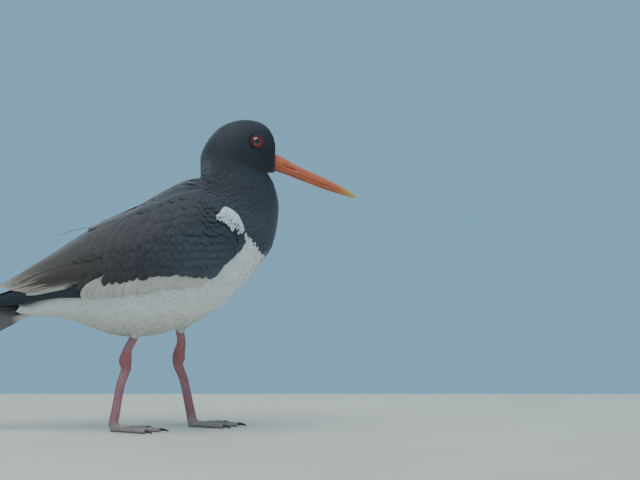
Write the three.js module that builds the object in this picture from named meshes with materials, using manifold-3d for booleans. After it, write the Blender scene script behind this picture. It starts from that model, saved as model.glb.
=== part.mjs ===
// An oystercatcher, life size, standing on sand with its head up and its bill
// pointing forward and a little down. Millimetres, +X towards the bill, +Y to
// the bird's left, +Z up. The floor is z = 0, and the origin lies under the
// middle of the bird's box.
//
// The flesh is one loft from the tail head to the forehead, parted by thin cuts
// into torso, neck and head. Each folded wing is a shell that lies on the torso
// and carries its feathers as overlapping vanes in tiers.
import * as THREE from "three";
import { mergeVertices } from "three/addons/utils/BufferGeometryUtils.js";
import Module from "manifold-3d";

const wasm = await Module();
wasm.setup();

const GAP = 0.35; // between pieces that touch
const RIGHT = -1; // the side that the photograph shows is -Y
const LEFT = 1;

// Driving sizes of the bird
const BILL_TIP = { x: 168, z: 198 };
const BILL_BASE_X = 99.5;
const CHIN_Z = 219.5;
const EYE = { x: 84.5, z: 246.5, radius: 6.2, bulge: 1.7 };
const TAIL_TIP_X = -168;
const PRIMARY_TIP_X = -161;
const TARSUS = { depth: 7.8, width: 5.6 };
const TOE = { height: 4.2, width: 5.4 };

// Each section of the flesh is a flattened ring between a point of the back line
// and a point of the belly line: [back x, back z, belly x, belly z, half width].
const FLESH = [
  [-104.5, 112, -104.5, 96, 11], // tail head
  [-88, 127, -88, 96, 18],
  [-70.5, 145, -70.5, 92, 27],
  [-49.5, 163, -49.5, 84, 35.5],
  [-28, 179, -28, 79.5, 42], // hip
  [-6.8, 193, -4.3, 80.5, 45.5],
  [12, 203.5, 20.4, 87, 47.5],
  [26, 209.5, 44.2, 98, 47],
  [34.5, 213, 64.6, 116, 44], // shoulder
  [36.2, 216, 85, 139.5, 39],
  [36.2, 220.5, 97.4, 157.5, 34.5], // breast
  [36, 226, 102.6, 188, 28],
  [36.4, 233, 98.8, 208, 23], // neck
  [40, 242, 93.6, 217.5, 20.6], // nape and throat
  [46.8, 251.8, 93.6, 218.4, 20],
  [56.2, 259.4, 94.2, 218.8, 19.4],
  [68, 263.2, 95.2, 218.9, 18.2], // crown
  [79.6, 263.3, 96.2, 218.8, 16.8],
  [89.8, 260, 97.2, 218.6, 14.2], // forehead
  [96.4, 252.4, 98.2, 218.5, 11],
  [99.6, 241, 99.4, 218.8, 7], // bill base
];
// The coat that the folded wings make round the torso, in the same form.
const COAT = [
  [TAIL_TIP_X, 113, TAIL_TIP_X, 93, 8.5],
  [-134, 122, -134, 98, 13],
  [-109, 136.8, -109, 97, 21],
  [-83, 153.8, -83, 96, 31],
  [-58, 171, -58, 89, 40.5],
  [-32, 185, -32, 80.5, 48],
  [-7, 198, -6, 81, 52],
  [18, 208.5, 22, 88, 53.5],
  [34.5, 213.5, 44.5, 98, 52],
  [41, 214.5, 66, 115.5, 47.5],
  [46, 216, 86, 138, 42],
  [50, 219, 99.5, 163, 36.5],
];
const CUTS = {
  // thin cuts through the flesh: a point in the side view and the cut's tilt
  neck: { x: 70, z: 193.5, tilt: 32 },
  head: { x: 67, z: 225, tilt: 24 },
};

const FEATHER_THICK = 0.9;
const FEATHER_EDGE = 0.5;

const colours = {
  black: [0x14171a, 0.75],
  brownblack: [0x1d1b19, 0.8],
  white: [0xd9dad6, 0.85],
  bill: [0xd2532a, 0.35],
  leg: [0xc98a8c, 0.55],
  claw: [0x1b1a1a, 0.4],
  eye: [0x7a120c, 0.1],
  lid: [0xd8441f, 0.45],
};
const materials = Object.fromEntries(
  Object.entries(colours).map(([name, [color, roughness]]) => [
    name,
    new THREE.MeshStandardMaterial({ name, color, roughness, metalness: 0 }),
  ]),
);

// Curve and loft helpers

// A smooth value between the rows of a table, at row number t.
function rowAt(table, t) {
  const last = table.length - 1;
  const k = Math.min(Math.max(Math.floor(t), 0), last - 1);
  const f = Math.min(Math.max(t - k, 0), 1);
  const row = (i) => table[Math.min(Math.max(i, 0), last)];
  const [a, b, c, d] = [row(k - 1), row(k), row(k + 1), row(k + 2)];
  return b.map((_, j) => {
    const m0 = (c[j] - a[j]) / 2;
    const m1 = (d[j] - b[j]) / 2;
    const f2 = f * f;
    const f3 = f2 * f;
    return (
      b[j] * (2 * f3 - 3 * f2 + 1) +
      m0 * (f3 - 2 * f2 + f) +
      c[j] * (3 * f2 - 2 * f3) +
      m1 * (f3 - f2)
    );
  });
}

// A point of a body form: t is the row number along it, angle runs from 0 at the
// back to PI at the belly, side is RIGHT or LEFT, and lift is out of the surface.
function bodyPoint(table, t, angle, side = RIGHT, lift = 0) {
  const [bx, bz, vx, vz, half] = rowAt(table, t);
  const back = new THREE.Vector3(bx, 0, bz);
  const belly = new THREE.Vector3(vx, 0, vz);
  const centre = back.clone().lerp(belly, 0.5);
  const up = back.clone().sub(belly).multiplyScalar(0.5);
  const tall = up.length();
  up.normalize();
  const c = Math.cos(angle);
  const s = Math.sin(angle);
  const outward = new THREE.Vector3(0, side * s, 0)
    .multiplyScalar(tall)
    .addScaledVector(up, c * half)
    .normalize();
  return centre
    .addScaledVector(up, c * tall)
    .add(new THREE.Vector3(0, side * half * s, 0))
    .addScaledVector(outward, lift);
}

// The row number at which a body form reaches x, at that angle.
function rowOf(table, x, angle) {
  let low = 0;
  let high = table.length - 1;
  for (let i = 0; i < 30; i++) {
    const mid = (low + high) / 2;
    if (bodyPoint(table, mid, angle).x < x) low = mid;
    else high = mid;
  }
  return (low + high) / 2;
}

// The angle at which a body form passes the side-view point x, z.
function angleOf(table, x, z) {
  let low = 0.02;
  let high = Math.PI - 0.02;
  for (let i = 0; i < 30; i++) {
    const mid = (low + high) / 2;
    if (bodyPoint(table, rowOf(table, x, mid), mid).z > z) low = mid;
    else high = mid;
  }
  return (low + high) / 2;
}

// A closed body through rings of points, all with the same count, capped by fans.
function loft(rings) {
  const n = rings[0].length;
  const points = rings.flat();
  const index = [];
  for (let i = 0; i + 1 < rings.length; i++) {
    for (let j = 0; j < n; j++) {
      const a = i * n + j;
      const b = i * n + ((j + 1) % n);
      index.push(a, b, b + n, a, b + n, a + n);
    }
  }
  for (const [ring, base, flip] of [
    [rings[0], 0, true],
    [rings.at(-1), (rings.length - 1) * n, false],
  ]) {
    const middle = ring
      .reduce((sum, p) => sum.add(p), new THREE.Vector3())
      .divideScalar(n);
    points.push(middle);
    for (let j = 0; j < n; j++) {
      const a = base + j;
      const b = base + ((j + 1) % n);
      index.push(...(flip ? [b, a, points.length - 1] : [a, b, points.length - 1]));
    }
  }
  const geometry = new THREE.BufferGeometry().setFromPoints(points);
  geometry.setIndex(index);
  return solidOf(geometry);
}

// A geometry as a solid with its faces turned outwards.
function solidOf(geometry) {
  const bare = geometry.clone();
  for (const name of Object.keys(bare.attributes)) {
    if (name !== "position") bare.deleteAttribute(name);
  }
  const merged = mergeVertices(bare, 1e-4);
  const make = (triVerts) =>
    new wasm.Manifold(
      new wasm.Mesh({
        numProp: 3,
        vertProperties: merged.attributes.position.array,
        triVerts,
      }),
    );
  const triangles = new Uint32Array(merged.index.array);
  const made = make(triangles);
  return made.volume() > 0 ? made : make(triangles.slice().reverse());
}

function geometryOf(solid) {
  const mesh = solid.getMesh();
  const geometry = new THREE.BufferGeometry();
  geometry.setAttribute(
    "position",
    new THREE.BufferAttribute(mesh.vertProperties.slice(), 3),
  );
  geometry.setIndex(new THREE.BufferAttribute(mesh.triVerts.slice(), 1));
  geometry.computeVertexNormals();
  return geometry;
}

const union = (solids) => solids.reduce((whole, piece) => whole.add(piece));
const largest = (solid) =>
  solid.decompose().reduce((a, b) => (a.volume() > b.volume() ? a : b));

// The other side's copy of a solid.
function mirrored(solid) {
  const geometry = geometryOf(solid);
  geometry.scale(1, -1, 1);
  return solidOf(geometry);
}

const bird = new THREE.Group();
function show(name, solid, material) {
  const mesh = new THREE.Mesh(geometryOf(largest(solid)), materials[material]);
  mesh.name = name;
  bird.add(mesh);
}

// Flesh: torso, neck and head from one loft

// The body form from row `from` to row `to`, grown by `grow` all round.
function bodyForm(table, { from = 0, to = table.length - 1, step = 0.6, around = 24, grow = 0 }) {
  const count = Math.ceil((to - from) / step);
  const rings = [];
  for (let i = 0; i <= count; i++) {
    const t = from + ((to - from) * i) / count;
    rings.push(
      Array.from({ length: around }, (_, j) => {
        const turn = (2 * Math.PI * (j + 0.5)) / around;
        const side = turn < Math.PI ? RIGHT : LEFT;
        return bodyPoint(table, t, Math.min(turn, 2 * Math.PI - turn), side, grow);
      }),
    );
  }
  return loft(rings);
}

// A thin slab across the body, which parts it.
function slab({ x, z, tilt }) {
  const plate = new THREE.BoxGeometry(160, 140, GAP);
  plate.rotateY(THREE.MathUtils.degToRad(tilt));
  plate.translate(x, 0, z);
  return solidOf(plate);
}

const flesh = bodyForm(FLESH, {});
const fleshGrown = bodyForm(FLESH, { grow: 1, to: 14, step: 1, around: 20 });
const bellyGrown = bodyForm(FLESH, { grow: GAP, to: 10 });
const [headFlesh, neckFlesh, torsoFlesh] = flesh
  .subtract(slab(CUTS.neck))
  .subtract(slab(CUTS.head))
  .decompose()
  .sort((a, b) => b.boundingBox().max[2] - a.boundingBox().max[2]);

// Eyes and lids

// A solid of revolution from a closed outline of [radius, height] points, turned
// so that its axis points out of the head at the eye.
function cheekPoint(x, z) {
  const face = FLESH.slice(14);
  const angle = angleOf(face, x, z);
  return bodyPoint(face, rowOf(face, x, angle), angle);
}
const eyeSeat = cheekPoint(EYE.x, EYE.z);
const eyeAxis = new THREE.Vector3()
  .crossVectors(
    cheekPoint(EYE.x, EYE.z + 2).sub(cheekPoint(EYE.x, EYE.z - 2)),
    cheekPoint(EYE.x - 2, EYE.z).sub(cheekPoint(EYE.x + 2, EYE.z)),
  )
  .normalize();
function turned(outline, around, side) {
  const points = outline.map(([r, h]) => new THREE.Vector2(r, h));
  const geometry = new THREE.LatheGeometry([...points, points[0]], around);
  const axis = new THREE.Vector3(eyeAxis.x, side * Math.abs(eyeAxis.y), eyeAxis.z);
  const seat = new THREE.Vector3(eyeSeat.x, side * Math.abs(eyeSeat.y), eyeSeat.z);
  geometry.applyQuaternion(
    new THREE.Quaternion().setFromUnitVectors(new THREE.Vector3(0, 1, 0), axis),
  );
  geometry.translate(seat.x, seat.y, seat.z);
  return solidOf(geometry);
}
// Heights along the eye's axis are from the skin at the eye's middle.
const eyeCentreDepth = EYE.bulge - EYE.radius;
function arc(radius, from, to, count) {
  return Array.from({ length: count + 1 }, (_, i) => {
    const a = from + ((to - from) * i) / count;
    return [
      Math.max(radius * Math.sin(a), 0),
      eyeCentreDepth + radius * Math.cos(a),
    ];
  });
}
const lidInner = Math.asin(4.1 / EYE.radius);
const lidOuter = Math.asin(5.3 / EYE.radius);
const eyeball = (grow) => [...arc(EYE.radius + grow, 0, Math.PI, 7)];
const lid = (grow) => [
  ...arc(EYE.radius + GAP - grow, lidInner, lidOuter, 2),
  [5.5 + grow, -1.6 - grow],
  [5.9 + grow, -0.4],
  [5.5 + grow, 0.7 + grow],
  [4.9, 0.9 + grow],
];
const lidPlug = [
  [0, -2.2],
  [5.5 + GAP, -2.0],
  [5.9 + GAP, -0.5],
  [5.9 + GAP, 6],
  [0, 6],
];
let head = headFlesh;
for (const side of [RIGHT, LEFT]) {
  head = head.subtract(turned(eyeball(GAP), 14, side)).subtract(turned(lidPlug, 14, side));
}

// Bill: two blades with the line of the mouth between them

// Rows of [share of the length, depth above the mouth line, depth below, half width]
const BILL = [
  [-0.04, 9.6, 4.2, 5.4],
  [0.08, 8.6, 4.1, 5.2],
  [0.2, 6.9, 4.0, 4.6],
  [0.4, 5.6, 4.2, 4.0],
  [0.62, 4.8, 4.0, 3.1],
  [0.82, 3.6, 3.0, 2.0],
  [0.94, 2.2, 1.8, 1.2],
  [1.0, 0.9, 0.7, 0.7],
];
const gape = new THREE.Vector3(BILL_BASE_X, 0, CHIN_Z + 5.2);
const billTip = new THREE.Vector3(BILL_TIP.x, 0, BILL_TIP.z);
const billWay = billTip.clone().sub(gape);
const billUp = new THREE.Vector3(-billWay.z, 0, billWay.x).normalize();
const BILL_BOW = 0.5; // the mouth line arches up a little at its middle

function billBlade(upper) {
  const rings = [];
  for (let t = 0; t <= BILL.length - 1; t += 0.5) {
    const [share, above, below, half] = rowAt(BILL, t);
    const bow = BILL_BOW * Math.sin(Math.PI * Math.min(Math.max(share, 0), 1));
    const middle = gape.clone().addScaledVector(billWay, share).addScaledVector(billUp, bow);
    const tall = upper ? above : -below;
    const seam = upper ? GAP / 2 : -GAP / 2;
    const ring = [];
    for (let j = 0; j < 9; j++) {
      const a = (Math.PI * j) / 8;
      const wide = half * Math.cos(a) * (Math.sin(a) < 0.1 ? 1 : 0.98);
      ring.push(
        middle
          .clone()
          .addScaledVector(billUp, seam + (tall - seam) * Math.pow(Math.sin(a), 0.85))
          .add(new THREE.Vector3(0, wide, 0)),
      );
    }
    rings.push(ring);
  }
  return loft(rings);
}
// The nostril is a long slit low on the upper blade's base.
function nostril(side) {
  const slit = new THREE.SphereGeometry(1, 10, 8);
  slit.scale(6.2, 1.5, 0.85);
  slit.rotateY(Math.atan2(-billWay.z, billWay.x));
  const at = gape.clone().addScaledVector(billWay, 0.17).addScaledVector(billUp, 2.4);
  slit.translate(at.x, side * 4.9, at.z);
  return solidOf(slit);
}
const billGrown = union([
  bodyForm(FLESH, { from: 12, grow: GAP }),
  slab({ x: BILL_BASE_X - 1, z: 228, tilt: 90 }),
]);
const beakUpper = billBlade(true)
  .subtract(billGrown)
  .subtract(nostril(RIGHT))
  .subtract(nostril(LEFT));
const beakLower = billBlade(false).subtract(billGrown);

show("torso", torsoFlesh, "white");
show("neck", neckFlesh, "black");
show("head", head, "black");
show("bill_upper", beakUpper, "bill");
show("bill_lower", beakLower, "bill");
for (const [side, word] of [[RIGHT, "right"], [LEFT, "left"]]) {
  show(`eye_${word}`, turned(eyeball(0), 14, side), "eye");
  show(`lid_${word}`, turned(lid(0), 14, side), "lid");
}

// Feathers of wing and tail

// One vane, a thin blade with a raised shaft line, through a line of frames:
// each frame is a point, the way along, and the way out of the surface. A vane
// with its underside sunk in the wing has no bend below.
const VANE_OUTLINE = [0.5, 0.86, 1, 0.98, 0.82, 0.34];
function vane(frames, width, camber, outline = VANE_OUTLINE, sunk = false) {
  const rings = frames.map(({ at, along, out }, i) => {
    const share = i / (frames.length - 1);
    const [wide] = rowAt(outline.map((w) => [w]), share * (outline.length - 1));
    const half = (width / 2) * wide;
    const across = new THREE.Vector3().crossVectors(along, out).normalize();
    const up = new THREE.Vector3().crossVectors(across, along).normalize();
    const point = (side, height) =>
      at.clone().addScaledVector(across, side * half).addScaledVector(up, height);
    const drop = -camber * wide * wide;
    return [
      point(-1, drop + FEATHER_EDGE / 2),
      point(-1, drop - FEATHER_EDGE / 2),
      ...(sunk ? [] : [point(0, -FEATHER_THICK / 2)]),
      point(1, drop - FEATHER_EDGE / 2),
      point(1, drop + FEATHER_EDGE / 2),
      point(0, FEATHER_THICK / 2),
    ];
  });
  return loft(rings);
}

// Frames on the wings' coat from a root to a tip, each given as x and an angle
// round the body. Lift is the height over the coat at the root and at the tip.
function coatFrames(root, tip, lift, count) {
  const at = (share) => {
    const x = root.x + (tip.x - root.x) * share;
    const bend = (tip.bend ?? 0) * Math.sin(Math.PI * share);
    const angle = root.angle + (tip.angle - root.angle) * share + bend;
    const height = lift[0] + (lift[1] - lift[0]) * share;
    return bodyPoint(COAT, rowOf(COAT, x, angle), angle, RIGHT, height);
  };
  return Array.from({ length: count + 1 }, (_, i) => {
    const share = i / count;
    const x = root.x + (tip.x - root.x) * share;
    const angle = root.angle + (tip.angle - root.angle) * share;
    const t = rowOf(COAT, x, angle);
    const out = bodyPoint(COAT, t, angle, RIGHT, 1).sub(bodyPoint(COAT, t, angle, RIGHT, 0));
    const along = at(share + 0.04).sub(at(share - 0.04)).normalize();
    return { at: at(share), along, out };
  });
}

const seeded = (seed) => () => {
  seed = (seed * 16807) % 2147483647;
  return seed / 2147483647 - 0.5;
};

// The wing's outline seen from the side, as x and z, front to back.
const WING_TOP = [
  [-96, 142],
  [-58, 168],
  [-20, 187],
  [14, 200],
  [34, 206],
  [52, 199],
  [66, 184],
  [74, 168],
];
const WING_LOWER = [
  [-96, 117],
  [-58, 118.5],
  [-20, 122],
  [14, 127],
  [34, 133],
  [52, 141],
  [66, 150],
  [74, 163],
];

// The core of the folded wing, which lies on the torso: rings across the body
// from back to front, each a thin lens between the upper and the lower line.
function wingCore() {
  const rings = [];
  for (let t = 0; t <= WING_TOP.length - 1; t += 0.5) {
    const [topX, topZ] = rowAt(WING_TOP, t);
    const [lowX, lowZ] = rowAt(WING_LOWER, t);
    const high = angleOf(COAT, topX, topZ);
    const low = angleOf(COAT, lowX, lowZ);
    const skin = (share, lift) => {
      const angle = high + (low - high) * share;
      const x = topX + (lowX - topX) * share;
      return bodyPoint(COAT, rowOf(COAT, x, angle), angle, RIGHT, lift);
    };
    const steps = 5;
    const ring = [];
    for (let j = 0; j <= steps; j++) ring.push(skin(j / steps, -0.8));
    for (let j = steps; j >= 0; j--) {
      ring.push(skin(j / steps, -1.8 - 4.5 * Math.sin((Math.PI * j) / steps)));
    }
    rings.push(ring);
  }
  return loft(rings);
}

// Tiers of the wing from the lowest layer to the highest. A tier's feathers step
// from `first` to `last`; root and tip are side-view points, and lift is the
// height of root and tip over the coat.
const WING_TIERS = [
  {
    // primaries, black, stacked along the lower edge and crossing over the tail
    count: 5,
    first: { root: [-66, 123], tip: [-122, 115] },
    last: { root: [-60, 117], tip: [PRIMARY_TIP_X, 105] },
    lift: [-2.4, -0.6],
    layer: -0.6,
    width: 11,
    steps: 3,
    camber: 0.4,
    outline: [0.6, 0.95, 1, 0.94, 0.78, 0.42],
  },
  {
    // secondaries, under the great coverts
    count: 2,
    first: { root: [-24, 134], tip: [-84, 121] },
    last: { root: [-38, 123], tip: [-90, 113.5] },
    lift: [-2, -0.9],
    layer: 0.3,
    width: 15,
    steps: 3,
    camber: 0.7,
    outline: [0.5, 0.84, 1, 0.95, 0.74, 0.3],
  },
  {
    // tertials, long and broad, over the folded primaries
    count: 5,
    first: { root: [-30, 185], tip: [-134, 121.5] },
    last: { root: [-30, 138], tip: [-123, 117.5] },
    lift: [-2, 2.2],
    layer: -0.6,
    width: 20,
    steps: 3,
    camber: 1.1,
    outline: [0.5, 0.84, 1, 0.97, 0.8, 0.36],
  },
  {
    // great coverts, white, the bar along the wing's lower edge
    count: 6,
    first: { root: [-50, 132], tip: [-74, 115] },
    last: { root: [48, 150], tip: [24, 131] },
    lift: [-1.5, 0.2],
    width: 23,
    steps: 2,
    camber: 1.1,
  },
  {
    // median coverts
    count: 5,
    first: { root: [-32, 147], tip: [-55, 130] },
    last: { root: [60, 158], tip: [38, 139] },
    lift: [-1.3, 0.7],
    width: 23,
    steps: 2,
    camber: 1.1,
  },
  {
    // lesser coverts, lower row
    count: 5,
    first: { root: [-22, 161], tip: [-44, 147] },
    last: { root: [67, 168], tip: [48, 152] },
    lift: [-1.3, 1.0],
    width: 22,
    steps: 2,
    camber: 1.1,
  },
  {
    // lesser coverts, upper row
    count: 4,
    first: { root: [-10, 174], tip: [-32, 161] },
    last: { root: [69, 178], tip: [52, 165] },
    lift: [-1.3, 1.2],
    width: 23,
    steps: 2,
    camber: 1.1,
  },
  {
    // scapulars, lower row, long over the tertials
    count: 4,
    first: { root: [-26, 179], tip: [-63, 157] },
    last: { root: [52, 193], tip: [24, 180] },
    lift: [-1.4, 1.5],
    width: 25,
    steps: 2,
    camber: 1.5,
  },
  {
    // scapulars, upper row, along the back
    count: 5,
    first: { root: [-26, 187.6], tip: [-61.5, 168] },
    last: { root: [38, 208], tip: [10, 201] },
    lift: [-1.4, 1.6],
    width: 21,
    steps: 2,
    camber: 1.5,
  },
];

function wingFeathers() {
  const random = seeded(11);
  const made = [];
  for (const tier of WING_TIERS) {
    for (let i = 0; i < tier.count; i++) {
      const share = i / (tier.count - 1);
      const between = (key) =>
        tier.first[key].map((v, axis) => v + (tier.last[key][axis] - v) * share);
      const [rootX, rootZ] = between("root");
      const [tipX, tipZ] = between("tip");
      const wobble = 1 + 0.1 * random();
      const raise = (tier.layer ?? 0) * i + (tier.layer ? 0 : 0.35 * (i % 2));
      const root = { x: rootX, angle: angleOf(COAT, rootX, rootZ) };
      const tip = { x: tipX + 2 * random(), angle: angleOf(COAT, tipX, tipZ) };
      const lift = [tier.lift[0], tier.lift[1] + raise];
      const frames = coatFrames(root, tip, lift, tier.steps);
      const covert = tier.outline === undefined;
      made.push(vane(frames, tier.width * wobble, tier.camber, tier.outline, covert));
    }
  }
  return made;
}

// Nothing of a wing crosses the plane between the wings.
const middleWall = solidOf(new THREE.BoxGeometry(400, 120, 400).translate(0, 60 - GAP / 2, 150));
const rightWing = union([wingCore(), ...wingFeathers()])
  .subtract(fleshGrown)
  .subtract(middleWall);

// Tail: coverts as a short wedge, and twelve feathers fanned and arched over it
// The line of a tail feather, from its root in the coverts to its tip: `off` runs
// from -1 on the right to 1 on the left, and the middle pair lies on top.
const TAIL = { count: 12, rootX: -104, spread: 21, rootSpread: 7, droop: 22, width: 13 };
function tailPoint(off, share) {
  const half = (TAIL.count - 1) / 2;
  const layer = 0.62 * (1 - Math.abs(off)) * half;
  const root = new THREE.Vector3(
    TAIL.rootX - 6,
    off * TAIL.rootSpread,
    105 - 5 * off * off + 0.2 * layer,
  );
  const tip = new THREE.Vector3(
    TAIL_TIP_X + 5 * off * off,
    off * TAIL.spread,
    98.5 - TAIL.droop * Math.abs(off) ** 1.6 + 0.5 * layer,
  );
  const at = root.lerp(tip, share);
  at.z += 1.6 * Math.sin(Math.PI * share);
  return at;
}
function tail() {
  const wedge = [];
  for (let t = 0; t <= 1; t += 0.25) {
    const x = -104.5 - GAP - 30 * t;
    const tall = 7.4 - 5.9 * t;
    const half = 10.4 + 4.5 * t;
    const z = 104 - 3.5 * t;
    wedge.push(
      Array.from({ length: 14 }, (_, j) => {
        const a = (2 * Math.PI * j) / 14;
        const y = half * Math.sin(a);
        const arch = -5 * t * (y / 14) ** 2;
        return new THREE.Vector3(x, y, z + arch + tall * Math.cos(a));
      }),
    );
  }
  const pieces = [loft(wedge)];
  const half = (TAIL.count - 1) / 2;
  for (let i = 0; i < TAIL.count; i++) {
    const off = (i - half) / half;
    const lean = 1.5 * Math.sign(off) * Math.abs(off) ** 0.6;
    const out = new THREE.Vector3(0, lean, 1).normalize();
    const along = tailPoint(off, 1).sub(tailPoint(off, 0)).normalize();
    const steps = 3;
    const frames = Array.from({ length: steps + 1 }, (_, k) => {
      return { at: tailPoint(off, k / steps), along, out };
    });
    pieces.push(vane(frames, TAIL.width, 0.35, [0.5, 0.8, 1, 0.85]));
  }
  return union(pieces);
}
const beside = solidOf(new THREE.BoxGeometry(100, 60, 60).translate(-104.5 - GAP + 50, 0, 100));
const tailSolid = tail().subtract(beside);

show("tail", tailSolid, "black");
// The room over the tail that the wings keep clear of.
const overTail = loft(
  [-0.1, 0.5, 1.1].map((share) => {
    const roof = [-1.3, -0.7, 0, 0.7, 1.3].map((off) => {
      return tailPoint(off, share).add(new THREE.Vector3(0, 0, 1.6));
    });
    return [...roof, ...roof.map((p) => new THREE.Vector3(p.x, p.y, 60)).reverse()];
  }),
);
const wing = rightWing.subtract(overTail);
show("wing_right", wing, "brownblack");
show("wing_left", mirrored(largest(wing)), "brownblack");

// Legs

// A limb through rows of [x, y, z, half depth, half width], its rings level or
// across its line, with a flat underside at z = 0 where `flat` is given.
function limb(rows, { step = 0.5, around = 12, flat = false }) {
  const place = (t) => new THREE.Vector3(...rowAt(rows, t).slice(0, 3));
  const rings = [];
  for (let t = 0; t <= rows.length - 1 + 1e-6; t += step) {
    const [, , , depth, width] = rowAt(rows, t);
    const at = place(t);
    const along = place(Math.min(t + 0.1, rows.length - 1))
      .sub(place(Math.max(t - 0.1, 0)))
      .normalize();
    const across = new THREE.Vector3(0, 1, 0);
    if (flat) across.crossVectors(new THREE.Vector3(0, 0, 1), along).normalize();
    const deep = new THREE.Vector3().crossVectors(along, across).normalize();
    rings.push(
      Array.from({ length: around }, (_, j) => {
        const a = (2 * Math.PI * (j + 0.5)) / around;
        const p = at
          .clone()
          .addScaledVector(deep, depth * Math.cos(a))
          .addScaledVector(across, width * Math.sin(a));
        if (flat) p.z = Math.max(p.z, 0);
        return p;
      }),
    );
  }
  return loft(rings);
}

// Where each leg leaves the belly, bends at the ankle and meets the ground.
const LEGS = {
  right: { side: RIGHT, belly: [-20, 80], ankle: [-27.5, 61], foot: [-37.5, 8], spread: [15, 19, 22] },
  left: { side: LEFT, belly: [18.5, 85], ankle: [17, 61], foot: [28, 8], spread: [15, 18, 20] },
};
// Toes: the way they point from straight ahead, outward positive, and length.
const TOES = [
  { name: "inner", turn: -31, length: 30 },
  { name: "middle", turn: 4, length: 38 },
  { name: "outer", turn: 36, length: 32 },
];
const CLAW_LENGTH = 7.5;
const TOE_ROOT = 10.5; // from the tarsus axis to where the toes part

function leg(word, { side, belly, ankle, foot, spread }) {
  const [hipY, ankleY, footY] = spread.map((v) => v * side);
  const kneeX = belly[0] + 6;
  const thighRows = [
    [kneeX + 2, hipY, belly[1] + 15, 12, 9.6],
    [kneeX - 2, hipY, belly[1] + 6, 9.2, 7.8],
    [belly[0] - 0.4, hipY, belly[1] - 0.2, 6.4, 5.7],
    [belly[0] - 1.6, hipY, belly[1] - 4, 4.9, 4.4],
  ];
  const thigh = limb(thighRows, { around: 12 }).subtract(bellyGrown);

  const heelX = foot[0];
  const shinRows = [
    [belly[0] - 0.5, hipY, belly[1] - 1, 3.7, 3.1],
    [ankle[0] + 2.4, (hipY + ankleY) / 2, (belly[1] + ankle[1]) / 2, 4, 3.3],
    [ankle[0] + 0.6, ankleY, ankle[1] + 3, 5.2, 4.1],
    [ankle[0], ankleY, ankle[1] - 2, 5.6, 4.3],
    [ankle[0] - 0.4 * side, ankleY, ankle[1] - 8, 4.3, 3.2],
    [
      ankle[0] * 0.6 + heelX * 0.4,
      ankleY * 0.6 + footY * 0.4,
      ankle[1] * 0.6 + foot[1] * 0.4,
      TARSUS.depth / 2,
      TARSUS.width / 2,
    ],
    [
      ankle[0] * 0.2 + heelX * 0.8,
      ankleY * 0.2 + footY * 0.8,
      ankle[1] * 0.2 + foot[1] * 0.8,
      TARSUS.depth / 2 + 0.1,
      TARSUS.width / 2 + 0.2,
    ],
    [heelX, footY, foot[1], 4.4, 3.6],
    [heelX + 1.2, footY, foot[1] - 4.6, 4.9, 4.4],
    [heelX + 1.6, footY, 0.0, 4.2, 3.8],
  ];
  const shin = limb(shinRows, { around: 10, step: 0.6 });
  const shinGrown = limb(
    shinRows.slice(0, 4).map(([x, y, z, deep, wide]) => [x, y, z, deep + GAP, wide + GAP]),
    { around: 10, step: 0.6 },
  );
  const atFoot = (turn) => (d, z, deep, wide) => {
    const way = THREE.MathUtils.degToRad(turn) * side;
    return [heelX + 1.6 + Math.cos(way) * d, footY + Math.sin(way) * d, z, deep, wide];
  };
  const tall = TOE.height / 2;
  const wide = TOE.width / 2;
  const palm = TOES.map(({ turn }) => {
    const at = atFoot(turn);
    return limb(
      [
        at(0, tall + 1, tall + 1.2, wide * 1.1),
        at(TOE_ROOT * 0.5, tall + 0.4, tall + 0.6, wide),
        at(TOE_ROOT - GAP, tall, tall + 0.1, wide * 0.98),
      ],
      { around: 8, flat: true, step: 1 },
    );
  });
  const floor = solidOf(new THREE.BoxGeometry(400, 400, 40).translate(0, 0, -20));
  const levelCut = (z) =>
    solidOf(new THREE.BoxGeometry(200, 200, GAP).translate(0, 0, z));
  const [shank, tarsus, sole] = union([shin, ...palm])
    .subtract(floor)
    .subtract(levelCut(ankle[1] - 7.5))
    .subtract(levelCut(foot[1] + 1.6))
    .decompose()
    .sort((a, b) => b.boundingBox().max[2] - a.boundingBox().max[2]);
  show(`thigh_${word}`, thigh.subtract(shinGrown), "white");
  show(`shank_${word}`, shank, "leg");
  show(`tarsus_${word}`, tarsus, "leg");
  show(`foot_${word}`, sole, "leg");

  for (const { name, turn, length } of TOES) {
    const at = atFoot(turn);
    const span = length - TOE_ROOT;
    const toe = limb(
      [
        at(TOE_ROOT, tall, tall + 0.1, wide * 0.98),
        at(TOE_ROOT + span * 0.14, tall - 0.2, tall - 0.05, wide * 0.9),
        at(TOE_ROOT + span * 0.32, tall, tall + 0.2, wide),
        at(TOE_ROOT + span * 0.5, tall - 0.3, tall - 0.15, wide * 0.86),
        at(TOE_ROOT + span * 0.7, tall - 0.1, tall + 0.05, wide * 0.94),
        at(length, tall - 0.4, tall - 0.3, wide * 0.72),
      ],
      { around: 10, flat: true, step: 1 },
    );
    show(`toe_${name}_${word}`, toe, "leg");
    const claw = limb(
      [
        at(length + GAP, 1.9, 1.35, 1.15),
        at(length + CLAW_LENGTH * 0.35, 2.1, 1.3, 1.0),
        at(length + CLAW_LENGTH * 0.7, 1.5, 0.9, 0.7),
        at(length + CLAW_LENGTH, 0.5, 0.35, 0.3),
      ],
      { around: 6, flat: true, step: 1 },
    );
    show(`claw_${name}_${word}`, claw, "claw");
  }
}

leg("right", LEGS.right);
leg("left", LEGS.left);

export default bird;
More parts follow.
